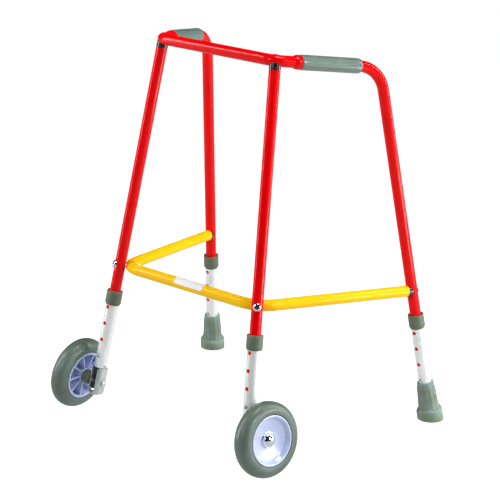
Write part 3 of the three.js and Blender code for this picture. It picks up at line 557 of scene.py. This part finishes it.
class Side:
    def __init__(self, name, sign):
        self.name = name
        self.sign = sign
        low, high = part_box(f"front_leg_{name}")
        axis = -Vector(joints[f"leg_front_{name}_slide"]["axis"]).normalized()
        middle = (low + high) / 2
        self.front = legMatrix(middle - axis * (middle.z / axis.z), axis)
        axis = -Vector(joints[f"leg_rear_{name}_slide"]["axis"]).normalized()
        self.rear = legMatrix(Vector(mounts[f"floor_{name}"]["pos_m"]), axis)
        outward = Vector((sign, 0, 0))
        self.handleBend = upLeg(self.rear, sizes["handleRearHeight"])
        self.topCorner = bentCorner(upLeg(self.front, sizes["topHeight"]), outward, self.handleBend,
                                    sizes["topBend"])
        self.handleWay = (self.handleBend - self.topCorner).normalized()
        self.handle = lineMatrix(self.topCorner, self.handleWay)
        boltSpot = upLeg(self.front, sizes["stretcherFront"])
        self.armEnd = upLeg(self.rear, sizes["stretcherRear"])
        inward = (self.armEnd - boltSpot).normalized() - outward
        axis = self.front.to_3x3().col[2]
        inward = (inward - axis * inward.dot(axis)).normalized()
        self.bolt = lineMatrix(boltSpot, inward)
        bendMiddle = boltSpot + inward * (2 * sizes["tube"] + sizes["gap"])
        self.armCorner = bentCorner(bendMiddle, outward, self.armEnd, sizes["stretcherBend"])
        self.armWay = (self.armEnd - self.armCorner).normalized()
        self.arm = lineMatrix(self.armEnd, self.armWay)
        spin = joints[f"wheel_{name}_spin"]
        axle = Vector(spin["axis"]).normalized() * sign
        level = Vector((0, 0, 1)).cross(axle).normalized()
        self.wheel = Matrix((level, axle.cross(level), axle)).transposed().to_4x4()
        self.wheel.translation = Vector(spin["pos_m"])


left, right = Side("left", -1), Side("right", 1)
sides = (left, right)
world = Matrix.Identity(4)
topLine = [left.topCorner + left.handleWay * sizes["topReach"], left.topCorner, right.topCorner,
           right.topCorner + right.handleWay * sizes["topReach"]]
armBack = sizes["tube"] + sizes["stretcherGap"]
stretcherLine = [left.armEnd - left.armWay * armBack, left.armCorner, right.armCorner,
                 right.armEnd - right.armWay * armBack]
legTop = sizes["topHeight"] / right.front[2][2] - sizes["tube"] - sizes["plugHeight"]

bell = dict(radius=0.012, taper=0.005)


def makeTopBar():
    tube = tubeMesh(topLine, sizes["tube"], sizes["topBend"], redLacquer)
    start = sizes["topReach"] - sizes["bellLength"]
    radius = sizes["tube"]
    profile = [
        (radius - 0.0012, start - bell["taper"]), (radius + 0.0001, start - bell["taper"]),
        (bell["radius"], start + 0.0005, 0.003), (bell["radius"], sizes["topReach"], 0.0012),
        (radius + sizes["gap"], sizes["topReach"], 0.0004), (radius - 0.0012, start)]
    bells = [moved(grained(turned(profile)), side.handle) for side in sides]
    place("top_front_bar", joinedMesh(tube, *bells), world, redLacquer, "red_paint", "frame")


def makeSideTube(side):
    start = sizes["topReach"] - sizes["bellLength"] + sizes["gap"]
    low = side.rear @ Vector((0, 0, sizes["rearLegEnd"]))
    corners = [side.topCorner + side.handleWay * start, side.handleBend, low]
    mesh = tubeMesh(corners, sizes["tube"], sizes["handleBend"], redLacquer)
    place(f"side_tube_{side.name}", mesh, world, redLacquer, "red_paint", "frame")


def makeFrontLeg(side):
    corners = [side.front @ Vector((0, 0, height)) for height in (sizes["frontLegEnd"], legTop)]
    mesh = tubeMesh(corners, sizes["tube"], 0, redLacquer)
    place(f"front_leg_{side.name}", mesh, world, redLacquer, "red_paint", "frame")


grip = dict(radius=0.0126, length=0.112, rounding=0.006, start=0.0463)


def makeGrip(side):
    inner = sizes["tube"] + 0.0001
    start, radius = grip["start"], grip["radius"]
    end = start + grip["length"]
    profile = [
        (inner, start), (radius - 0.0002, start, 0.0014), (radius, start + 0.004, 0.002),
        (radius - 0.0001, (start + end) / 2), (radius, end - grip["rounding"], 0.004),
        (radius - 0.0007, end, 0.0045), (inner, end)]
    place(f"grip_{side.name}", turned(profile), side.handle, gripVinyl, "grip_vinyl", "frame")


plug = dict(depth=0.018, hornDrop=0.0032, edge=0.0007)


def makeCornerPlug(side):
    crown = sizes["topHeight"] / side.front[2][2]
    low = legTop + sizes["gap"]
    radius = sizes["tube"]
    body = turned([
        (0, low - plug["depth"]), (radius - sizes["wall"], low - plug["depth"], 0.001),
        (radius - sizes["wall"], low, 0.0003),
        (radius + 0.0003, low, plug["edge"]), (radius + 0.0003, low + 0.003, 0.0004),
        (radius, low + 0.0034, 0.0004),
        (radius, crown - plug["hornDrop"], 0.0005), (0, crown - plug["hornDrop"])])
    back = side.front.inverted()
    barCutter = tubeMesh([back @ point for point in topLine], radius + 0.0001, sizes["topBend"])
    place(f"corner_plug_{side.name}", carved(body, [barCutter]), side.front, blackPlastic, "black_plastic",
          "frame")


screw = dict(headRadius=0.0044, slotWidth=0.0009, slotLength=0.0045, slotDepth=0.0013, cornerRise=0.0013)


def crossSlots(top):
    cutters = []
    for turn in (0, pi / 2):
        half, reach = screw["slotWidth"] / 2, screw["slotLength"] / 2
        slotShape = extruded([(-reach, top - screw["slotDepth"]), (reach, top - screw["slotDepth"]),
                              (reach, top + 0.002), (-reach, top + 0.002)], -half, half)
        cutters.append(moved(slotShape, Matrix.Rotation(turn, 4, "Z")))
    return cutters


def makeCornerScrew(side):
    seat = sizes["topHeight"] / side.front[2][2] + sizes["tube"] - 0.0004
    top = seat + screw["cornerRise"]
    head = turned([
        (0, seat - 0.002), (screw["headRadius"], seat - 0.002, 0.0002),
        (screw["headRadius"], seat + 0.0006, 0.0005),
        (screw["headRadius"] * 0.72, top - 0.0001, 0.001), (0, top)], 48)
    place(f"corner_screw_{side.name}", carved(head, crossSlots(top)), side.front, redLacquer, "red_paint",
          "frame")


makeTopBar()
for side in sides:
    makeSideTube(side)
    makeFrontLeg(side)
    makeGrip(side)
    makeCornerPlug(side)
    makeCornerScrew(side)
print("red frame made")

bolt = dict(radius=0.003, headRadius=0.00675, headHeight=0.0034, lobes=6, lobe=0.0011, socket=0.0026)
nut = dict(radius=0.006, height=0.0055)


def makeStretcher():
    mesh = tubeMesh(stretcherLine, sizes["tube"], sizes["stretcherBend"], yellowLacquer)
    place("stretcher_tube", mesh, world, yellowLacquer, "yellow_paint", "frame")


def makeStretcherBolt(side):
    seat = -sizes["tube"]
    top = seat - bolt["headHeight"]
    end = 3 * sizes["tube"] + sizes["gap"] + nut["height"] - 0.001
    radius = bolt["headRadius"]
    body = turned([
        (0, top), (radius * 0.5, top, 0.0008), (radius * 0.85, top + 0.0008, 0.0012),
        (radius, top + 0.0022, 0.0008),
        (radius, seat + 0.0022, 0.0003), (bolt["radius"], seat + 0.0022), (bolt["radius"], end, 0.0005),
        (0, end)])
    socket = turned([(0, top - 0.001), (bolt["socket"], top - 0.001), (bolt["socket"], top + 0.002),
                     (0, top + 0.002)], 48)
    lobe = turned([(0, top - 0.001), (bolt["lobe"], top - 0.001), (bolt["lobe"], top + 0.002),
                   (0, top + 0.002)], 24)
    lobes = ringMesh(moved(lobe, Matrix.Translation((bolt["socket"], 0, 0))), bolt["lobes"])
    leg = side.bolt.inverted() @ side.front
    reach = sizes["stretcherFront"] / side.front[2][2]
    tube = tubeMesh([leg @ Vector((0, 0, reach + step)) for step in (-sizes["legStub"], sizes["legStub"])],
                    sizes["tube"] - 0.0002)
    mesh = carved(body, [tube, socket, lobes])
    place(f"stretcher_bolt_{side.name}", mesh, side.bolt, mirrorChrome, "chrome", "frame")


def makeStretcherNut(side):
    seat = 3 * sizes["tube"] + sizes["gap"]
    cap = turned([
        (bolt["radius"] + 0.0001, seat - 0.0008), (nut["radius"], seat - 0.0008),
        (nut["radius"], seat + nut["height"] - 0.0011), (nut["radius"] * 0.86, seat + nut["height"], 0.0003),
        (bolt["radius"] + 0.0001, seat + nut["height"], 0.0004)], 6)
    place(f"stretcher_nut_{side.name}", cap, side.bolt, zincPlate, "zinc_steel", "frame")


saddle = dict(depth=0.018, hornDrop=0.0032)


def legAcross(side, radius):
    leg = side.arm.inverted() @ side.rear
    reach = sizes["stretcherRear"] / side.rear[2][2]
    return tubeMesh([leg @ Vector((0, 0, reach + step)) for step in (-sizes["legStub"], sizes["legStub"])],
                    radius)


def makeRearSaddle(side):
    seat = -sizes["tube"] - sizes["stretcherGap"] + sizes["gap"]
    radius = sizes["tube"]
    body = turned([
        (0, seat - saddle["depth"]), (radius - sizes["wall"], seat - saddle["depth"], 0.001),
        (radius - sizes["wall"], seat, 0.0003),
        (radius + 0.0003, seat, 0.0006), (radius + 0.0003, seat + 0.0022, 0.0004),
        (radius, seat + 0.0026, 0.0003), (radius, -saddle["hornDrop"], 0.0004), (0, -saddle["hornDrop"])])
    mesh = carved(body, [legAcross(side, radius + 0.0001)])
    place(f"rear_saddle_{side.name}", mesh, side.arm, blackPlastic, "black_plastic", "frame")


rearScrew = dict(radius=0.0046, rise=0.0023)


def makeRearScrew(side):
    top = sizes["tube"] + rearScrew["rise"]
    radius = rearScrew["radius"]
    head = turned([
        (0, top - 0.005), (radius, top - 0.005), (radius, top - 0.0012, 0.0008),
        (radius * 0.7, top - 0.0001, 0.001), (0, top)], 48)
    mesh = carved(head, [legAcross(side, sizes["tube"] - 0.0003), *crossSlots(top)])
    place(f"rear_screw_{side.name}", mesh, side.arm, redLacquer, "red_paint", "frame")


label = dict(start=-0.026, length=0.063, low=8, high=115, corner=0.003, lift=0.0003, thickness=0.0002)


def makeLabel():  # a blank sticker with round corners, wrapped over the bar
    radius = sizes["tube"] + label["lift"]
    height = radians(label["high"] - label["low"]) * radius
    corner = label["corner"]
    outline = []
    for x, y, start in ((label["length"] - corner, height - corner, 0), (corner, height - corner, 90),
                        (corner, corner, 180), (label["length"] - corner, corner, 270)):
        outline += arc(x, y, corner, start, start + 90, 8)
    bm = bmesh.new()
    top = [bm.verts.new((x, y, 0)) for x, y in outline]
    bm.faces.new(top)
    for step in range(1, 24):
        cut = height * step / 24
        bmesh.ops.bisect_plane(bm, geom=bm.verts[:] + bm.edges[:] + bm.faces[:], plane_co=(0, cut, 0),
                               plane_no=(0, 1, 0))
    made = bmesh.ops.extrude_face_region(bm, geom=bm.faces[:])
    for vertex in made["geom"]:
        if isinstance(vertex, bmesh.types.BMVert):
            vertex.co.z = label["thickness"]
    for vertex in bm.verts:
        angle = radians(label["low"]) + vertex.co.y / radius
        lift = radius + vertex.co.z
        vertex.co = Vector((label["start"] + vertex.co.x, -lift * cos(angle), lift * sin(angle)))
    mesh = meshFrom(bm)
    place("bar_label", mesh, Matrix.Translation((0, right.armCorner.y, right.armCorner.z)), labelVinyl,
          "label", "frame")


makeStretcher()
makeLabel()
for side in sides:
    makeStretcherBolt(side)
    makeStretcherNut(side)
    makeRearSaddle(side)
    makeRearScrew(side)
print("stretcher made")

foot = dict(pitch=0.0294, holes=4, holeRadius=0.0035, buttonRadius=0.0032, proud=0.0025,
            collarRise=dict(front=0.0292, rear=0.032),
            collarHeight=0.025, collarRadius=0.0137, frontButton=0.1046, rearButton=0.0768,
            frontSleeve=0.0836, rearSleeve=0.0107, collarLip=0.0033, drillReach=0.03, buttonBase=0.0072)


def collarTop(end, button):
    return button + (foot["holes"] - 1) * foot["pitch"] + foot["collarRise"][end]


def makeSleeve(side, end, button, low, matrix):
    high = collarTop(end, button) - foot["collarLip"]
    inner = sizes["tube"] + sizes["gap"]
    blank = turned([(inner, low), (sizes["sleeve"], low, 0.0003), (sizes["sleeve"], high), (inner, high)])
    mesh = grownFrom(blank, holeTree, {
        "Count": foot["holes"], "Pitch": foot["pitch"], "First": button, "Hole Radius": foot["holeRadius"],
        "Reach": foot["drillReach"], "Finish": tubeAluminium})
    place(f"sleeve_{end}_{side.name}", mesh, matrix, tubeAluminium, "aluminium_tube",
          f"foot_{end}_{side.name}", cylinder=True)


def makeCollar(side, end, button, matrix):
    high = collarTop(end, button)
    low = high - foot["collarHeight"]
    radius = foot["collarRadius"]
    profile = [
        (sizes["sleeve"] + 0.0001, low), (radius - 0.0017, low, 0.0005), (radius, low + 0.003, 0.002),
        (radius - 0.0001, high - 0.007, 0.002), (radius, high - 0.0045, 0.001),
        (radius - 0.0001, high, 0.001),
        (sizes["tube"] + 0.0002, high, 0.0005), (sizes["tube"] + 0.0002, high - 0.003),
        (sizes["sleeve"] + 0.0001, high - 0.003)]
    place(f"collar_{end}_{side.name}", turned(profile), matrix, collarPlastic, "collar_plastic",
          f"foot_{end}_{side.name}")


def makeButton(side, end, button, matrix):
    tip = sizes["sleeve"] + foot["proud"]
    radius = foot["buttonRadius"]
    base = foot["buttonBase"]
    profile = [(0, base), (radius, base, 0.0003), (radius, tip - 0.0014, 0.0016),
               (radius * 0.55, tip, 0.0014), (0, tip)]
    pointing = matrix @ Matrix.Translation((0, 0, button)) @ Matrix.Rotation(pi / 2, 4, "X")
    place(f"snap_button_{end}_{side.name}", turned(profile, 48), pointing, satinChrome, "chrome",
          f"button_{end}_{side.name}")


ferrule = dict(height=0.071, top=0.0143, flare=0.0172, step=0.021, base=0.0225, ribs=12, ribWidth=0.0016,
               ribLift=0.0006)


def makeFerrule(side):
    bore, step, base = sizes["sleeve"] + 0.0001, ferrule["step"], ferrule["base"]
    profile = [
        (0, -0.008), (base, -0.008), (base, step - 0.0035, 0.0015), (base - 0.0022, step, 0.0018),
        (ferrule["flare"] + 0.0006, step + 0.0006, 0.0012), (ferrule["flare"], step + 0.004, 0.002),
        (ferrule["top"] + 0.0004, ferrule["height"] - 0.007, 0.004),
        (ferrule["top"], ferrule["height"] - 0.0012, 0.0012),
        (ferrule["top"] - 0.0012, ferrule["height"], 0.0008), (bore, ferrule["height"], 0.0005),
        (bore, 0.0085), (0, 0.0085)]
    body = turned(profile)
    rise = ferrule["height"] - step
    lean = (ferrule["flare"] - ferrule["top"]) / rise
    rib = extruded([(-0.001, 0), (ferrule["ribLift"], 0), (ferrule["ribLift"], rise - 0.012),
                    (-0.001, rise - 0.011)], -ferrule["ribWidth"] / 2, ferrule["ribWidth"] / 2)
    rib = withRoundEdges(rib, 0.0003, segments=2)
    rib = moved(rib, Matrix.Translation((ferrule["flare"], 0, step + 0.003)) @ Matrix.Rotation(-lean, 4, "Y"))
    ribs = ringMesh(rib, ferrule["ribs"], ferruleRubber)
    back = side.rear.inverted()
    underFloor = moved(extruded([(-0.5, -0.1), (0.5, -0.1), (0.5, 0), (-0.5, 0)], -0.5, 0.5), back)
    place(f"ferrule_{side.name}", joinedMesh(carved(body, [underFloor]), ribs), side.rear, ferruleRubber,
          "ferrule_rubber", f"foot_rear_{side.name}")


for side in sides:
    for end, matrix, button, low in (("front", side.front, foot["frontButton"], foot["frontSleeve"]),
                                     ("rear", side.rear, foot["rearButton"], foot["rearSleeve"])):
        makeSleeve(side, end, button, low, matrix)
        makeCollar(side, end, button, matrix)
        makeButton(side, end, button, matrix)
    makeFerrule(side)
print("feet made")

bracket = dict(high=0.083, low=0.0336, inboard=0.0125, outboard=0.012, plate=0.002, halfWidth=0.008,
               flange=0.011, corner=0.008, edge=0.0028)
rivet = dict(above=0.0045, radius=0.002, headRadius=0.0036, headHeight=0.0013)


def bracketOutline(inset, top):
    corner = bracket["corner"] - inset
    low = bracket["low"] + inset
    inboard, outboard = bracket["inboard"] - inset, -bracket["outboard"] + inset
    return [(inboard, top), (outboard, top), *arc(outboard + corner, low + corner, corner, 180, 270, 8),
            *arc(inboard - corner, low + corner, corner, 270, 360, 8)]


def makeBracket(side):
    flip = Matrix.Diagonal((-side.sign, -side.sign, 1, 1))  # outline X is inboard
    half = bracket["halfWidth"]
    shell = extruded(bracketOutline(0, bracket["high"]), -half, half)
    inboardEdge = bracket["inboard"] - 0.0005
    shell = withRoundEdges(shell, bracket["edge"], lambda edge: all(
        v.co.x > inboardEdge - 0.0075 and abs(abs(v.co.y) - half) < 1e-5
        for v in edge.verts) and abs(edge.verts[0].co.y - edge.verts[1].co.y) < 1e-5)
    flangeEnd = bracket["inboard"] - bracket["flange"]
    inner = bracketOutline(bracket["plate"], bracket["high"] + 0.002)
    wide = extruded([(min(x, flangeEnd), z) for x, z in inner], -0.02, 0.02)
    channel = extruded(inner, -half + bracket["plate"], half - bracket["plate"])
    mesh = moved(carved(shell, [wide, channel]), flip)
    place(f"wheel_bracket_{side.name}", mesh, side.front, zincPlate, "zinc_steel", f"foot_front_{side.name}")


core = dict(inset=0.0023, lift=0.0075, top=0.0833, edge=0.0012, spigotRadius=0.0095, spigotLow=0.08,
            spigotTop=0.0948)


def makeBracketCore(side):
    across = (-bracket["outboard"] + core["inset"], bracket["inboard"] - core["inset"])
    deep = bracket["halfWidth"] - core["inset"]
    low, high = bracket["low"] + bracket["plate"] + core["lift"], core["top"]
    shape = extruded([(across[0], low), (across[1], low), (across[1], high), (across[0], high)], -deep, deep)
    shape = withRoundEdges(shape, core["edge"])
    radius, low, high = core["spigotRadius"], core["spigotLow"], core["spigotTop"]
    spigot = turned([(0, low), (radius, low), (radius, high, 0.001), (0, high)])
    mesh = moved(joinedMesh(shape, spigot), Matrix.Diagonal((-side.sign, -side.sign, 1, 1)))
    place(f"bracket_core_{side.name}", mesh, side.front, blackPlastic, "black_plastic",
          f"foot_front_{side.name}")


def makeRivet(side):
    seat, radius = sizes["sleeve"] + 0.0001, rivet["headRadius"]
    end = seat + rivet["headHeight"]
    half = [(0, -end), (radius * 0.55, -end, 0.0008), (radius, -seat - 0.0003, 0.0004),
            (radius, -seat, 0.0001), (rivet["radius"], -seat)]
    profile = half + [(r, -z, *rest) for r, z, *rest in reversed(half)]
    raised = Matrix.Translation((0, 0, foot["frontSleeve"] + rivet["above"]))
    matrix = side.front @ raised @ Matrix.Rotation(pi / 2, 4, "Y")
    place(f"bracket_rivet_{side.name}", turned(profile, 48), matrix, zincPlate, "zinc_steel",
          f"foot_front_{side.name}")


for side in sides:
    makeBracket(side)
    makeBracketCore(side)
    makeRivet(side)
print("brackets made")

wheel = dict(radius=0.0624, width=0.031, shoulder=0.014, bore=0.042, rimHalf=0.015, rimWall=0.004,
             dishFace=0.004,
             dishRadius=0.034, web=0.004, boss=0.012, ribs=9, ribThickness=0.0024, axle=0.004, bowl=0.0038)
pipMark = dict(count=3, radius=0.0016, spot=0.0305)
cap = dict(radius=0.014, height=0.010, ring=0.0014)


def makeTyre(side):
    edge, shoulder, radius = wheel["width"] / 2, wheel["shoulder"], wheel["radius"]
    bore = wheel["bore"]
    tread = arc(radius - shoulder, shoulder - edge, shoulder, -90, 0, 16)
    tread += arc(radius - shoulder, edge - shoulder, shoulder, 0, 90, 16)
    profile = [
        (bore, 0.002 - edge, 0.0006), (bore + 0.0012, -edge + 0.0002, 0.0006), *tread,
        (bore + 0.0012, edge - 0.0002, 0.0006), (bore, edge - 0.002, 0.0006)]
    place(f"tyre_{side.name}", turned(profile, detail["wheelSides"]), side.wheel, tyreRubber, "tyre_rubber",
          f"wheel_{side.name}")


def makeHub(side):
    rim, face, back = wheel["bore"] - 0.0003, wheel["dishFace"], wheel["dishFace"] - wheel["web"]
    half, bore, boss = wheel["rimHalf"], wheel["axle"] + 0.0002, wheel["boss"]
    bowlRadii = [0.032 - 0.0015 * step for step in range(16)]
    profile = [
        (bore, -half, 0.0004), (boss, -half, 0.0008), (boss + 0.0006, back, 0.001),
        (rim - wheel["rimWall"] - 0.001, back, 0.0015), (rim - wheel["rimWall"], -half, 0.0008),
        (rim, -half, 0.0006), (rim, half, 0.0005), (rim - 0.0022, half + 0.0001, 0.0008),
        (rim - wheel["rimWall"] - 0.0003, half - 0.002, 0.002),
        (wheel["dishRadius"] + 0.0006, face + 0.0042, 0.003),
        (wheel["dishRadius"] - 0.001, face + wheel["bowl"], 0.0012),
        *[(radius, face + wheel["bowl"] * (radius / wheel["dishRadius"]) ** 2) for radius in bowlRadii],
        (bore, face + 0.0002)]
    body = turned(profile, detail["wheelSides"])
    rib = extruded([(boss - 0.001, -half + 0.002), (rim - wheel["rimWall"] + 0.0005, -half + 0.002),
                    (rim - wheel["rimWall"] + 0.0005, back + 0.001), (boss - 0.001, back + 0.001)],
                   -wheel["ribThickness"] / 2, wheel["ribThickness"] / 2)
    rib = withRoundEdges(rib, 0.0004, segments=2)
    ribs = ringMesh(rib, wheel["ribs"], hubPlastic)
    pip = moved(turned([(0, -0.0008), (pipMark["radius"], -0.0008), (pipMark["radius"], 0.0004, 0.0004),
                        (0, 0.0004)], 24),
                Matrix.Translation((pipMark["spot"], 0, face + wheel["bowl"] * 0.85)))
    pips = ringMesh(pip, pipMark["count"], hubPlastic)
    place(f"wheel_hub_{side.name}", joinedMesh(body, ribs, pips), side.wheel, hubPlastic, "hub_plastic",
          f"wheel_{side.name}")


def makeAxleCap(side):
    seat, radius = wheel["dishFace"] + 0.0006, cap["radius"]
    top = wheel["dishFace"] + 0.0003 + cap["height"]
    dome = arc(0, 0, 1, 0, 90, 20)
    domeRadius = radius - cap["ring"] - 0.0003
    domeSeat = seat + 0.0009
    profile = [
        (wheel["axle"] + 0.0002, seat), (radius - 0.0002, seat, 0.0004), (radius, seat + 0.0008, 0.0005),
        (radius - cap["ring"], seat + 0.0011, 0.0003), (domeRadius, domeSeat),
        *[(domeRadius * x, domeSeat + (top - domeSeat) * y) for x, y in dome[1:-1]], (0, top)]
    profile = [(0, seat + 0.002), (wheel["axle"] + 0.0002, seat + 0.002), *profile]
    place(f"axle_cap_{side.name}", turned(profile), side.wheel, mirrorChrome, "chrome",
          f"foot_front_{side.name}")


axleNut = dict(radius=0.0054, height=0.0032, round=0.0012)


def makeAxleNut(side):
    high, radius = axialReach(side, "axle_nut")[1], axleNut["radius"]
    low = high - axleNut["height"]
    profile = [(0, low), (radius * 0.7, low, axleNut["round"]), (radius, low + 0.0012, axleNut["round"]),
               (radius, high, 0.0003), (0, high)]
    place(f"axle_nut_{side.name}", turned(profile, 48), side.wheel, zincPlate, "zinc_steel",
          f"foot_front_{side.name}")


def makeSpacer(side):
    low, high = axialReach(side, "wheel_spacer")
    bore, radius = wheel["axle"] + 0.0002, wheel["boss"]
    profile = [(bore, low), (radius - 0.0002, low, 0.001), (radius, low + 0.0015, 0.001),
               (radius, high, 0.0008), (bore, high)]
    place(f"wheel_spacer_{side.name}", turned(profile), side.wheel, collarPlastic, "collar_plastic",
          f"foot_front_{side.name}")


def axialReach(side, stem):  # how far a small piece of the wheel reaches along the axle
    node = frame["nodes"][f"{stem}_{side.name}"]
    back = side.wheel.inverted() @ node.matrix_world
    heights = [(back @ vertex.co).z for vertex in node.data.vertices]
    return min(heights), max(heights)


for side in sides:
    makeTyre(side)
    makeHub(side)
    makeAxleCap(side)
    makeAxleNut(side)
    makeSpacer(side)
print("wheels made")

# these small parts keep the frame's own meshes and only get a finish
kept = {"snap_spring_front": innerSteel, "snap_spring_rear": innerSteel, "ferrule_washer": innerSteel,
        "axle": innerSteel}
for stem, finish in kept.items():
    for side in sides:
        mesh = frame["nodes"][f"{stem}_{side.name}"].data
        mesh.materials.clear()
        mesh.materials.append(finish)

studio = dict(floorSize=60, aimHeight=0.3, floorShade=(0.30, 0.30, 0.30), floorGlow=0.32,
              roomShade=(0.025, 0.027, 0.03))


def makeSheet(name, corners, finish):  # a flat piece of the studio
    mesh = bpy.data.meshes.new(name)
    mesh.from_pydata(corners, [], [(0, 1, 2, 3)])
    mesh.materials.append(finish)
    sheet = bpy.data.objects.new(name, mesh)
    bpy.context.scene.collection.objects.link(sheet)


def makeFloor():  # as low as a fully extended foot reaches, so that every pose stands clear of it
    half = studio["floorSize"] / 2
    slides = [joint for name, joint in joints.items() if name.endswith("_slide")]
    low = min(joint["range_m"][1] * joint["axis"][2] for joint in slides)
    f = Finish("paleFloor", None)
    seen = f.node("ShaderNodeLightPath", output="Is Camera Ray")
    glow = seen * (1 - studio["floorGlow"]) + studio["floorGlow"]
    white = f.shade(Base_Color=(*studio["floorShade"], 1), Roughness=0.9, Specular_IOR_Level=0.1,
                    Emission_Color=(1, 1, 1, 1), Emission_Strength=glow)
    makeSheet("floor", [(x * half, y * half, low) for x, y in ((-1, -1), (1, -1), (1, 1), (-1, 1))], white)


def makeWorld():
    made = bpy.data.worlds.new("studio")
    made.use_nodes = True
    made.node_tree.nodes.clear()
    graph = Graph(made.node_tree)
    seen = graph.node("ShaderNodeLightPath", output="Is Camera Ray")
    colors = graph.node("ShaderNodeMix", dict(data_type="RGBA"), {
        "Factor": seen, "A": (*studio["roomShade"], 1), "B": (1, 1, 1, 1)})
    light = graph.node("ShaderNodeBackground", None, {"Color": colors, "Strength": 1.0})
    graph.node("ShaderNodeOutputWorld", None, {"Surface": light})
    bpy.context.scene.world = made


def makeLamp(name, bearing, distance, height, size, power):  # bearings start at the camera's side
    angle = radians(shot["azimuth"] + bearing)
    spot = Vector((sin(angle) * distance, -cos(angle) * distance, height))
    data = bpy.data.lights.new(name, "AREA")
    data.shape = "RECTANGLE"
    data.size, data.size_y = size
    data.energy = power
    lamp = bpy.data.objects.new(name, data)
    back = (spot - Vector((0, 0, studio["aimHeight"]))).normalized()
    lamp.matrix_world = Matrix.Translation(spot) @ back.to_track_quat("Z", "Y").to_matrix().to_4x4()
    bpy.context.scene.collection.objects.link(lamp)


makeFloor()
makeWorld()
makeLamp("above", 60, 0.6, 2.4, (0.9, 0.9), 26)
makeLamp("leftStrip", -90, 2.0, 1.1, (0.2, 2.2), 30)
makeLamp("rightStrip", 98, 1.9, 0.95, (0.2, 1.9), 26)
makeLamp("window", 71.5, 1.46, 0.14, (0.38, 0.26), 6)
makeLamp("front", 53, 3.2, 1.4, (0.5, 0.6), 34)
makeLamp("fill", -40, 3.0, 1.9, (1.0, 1.0), 24)
view = bpy.context.scene.view_settings
view.view_transform = "Standard"
view.look = "None"
print("studio set")
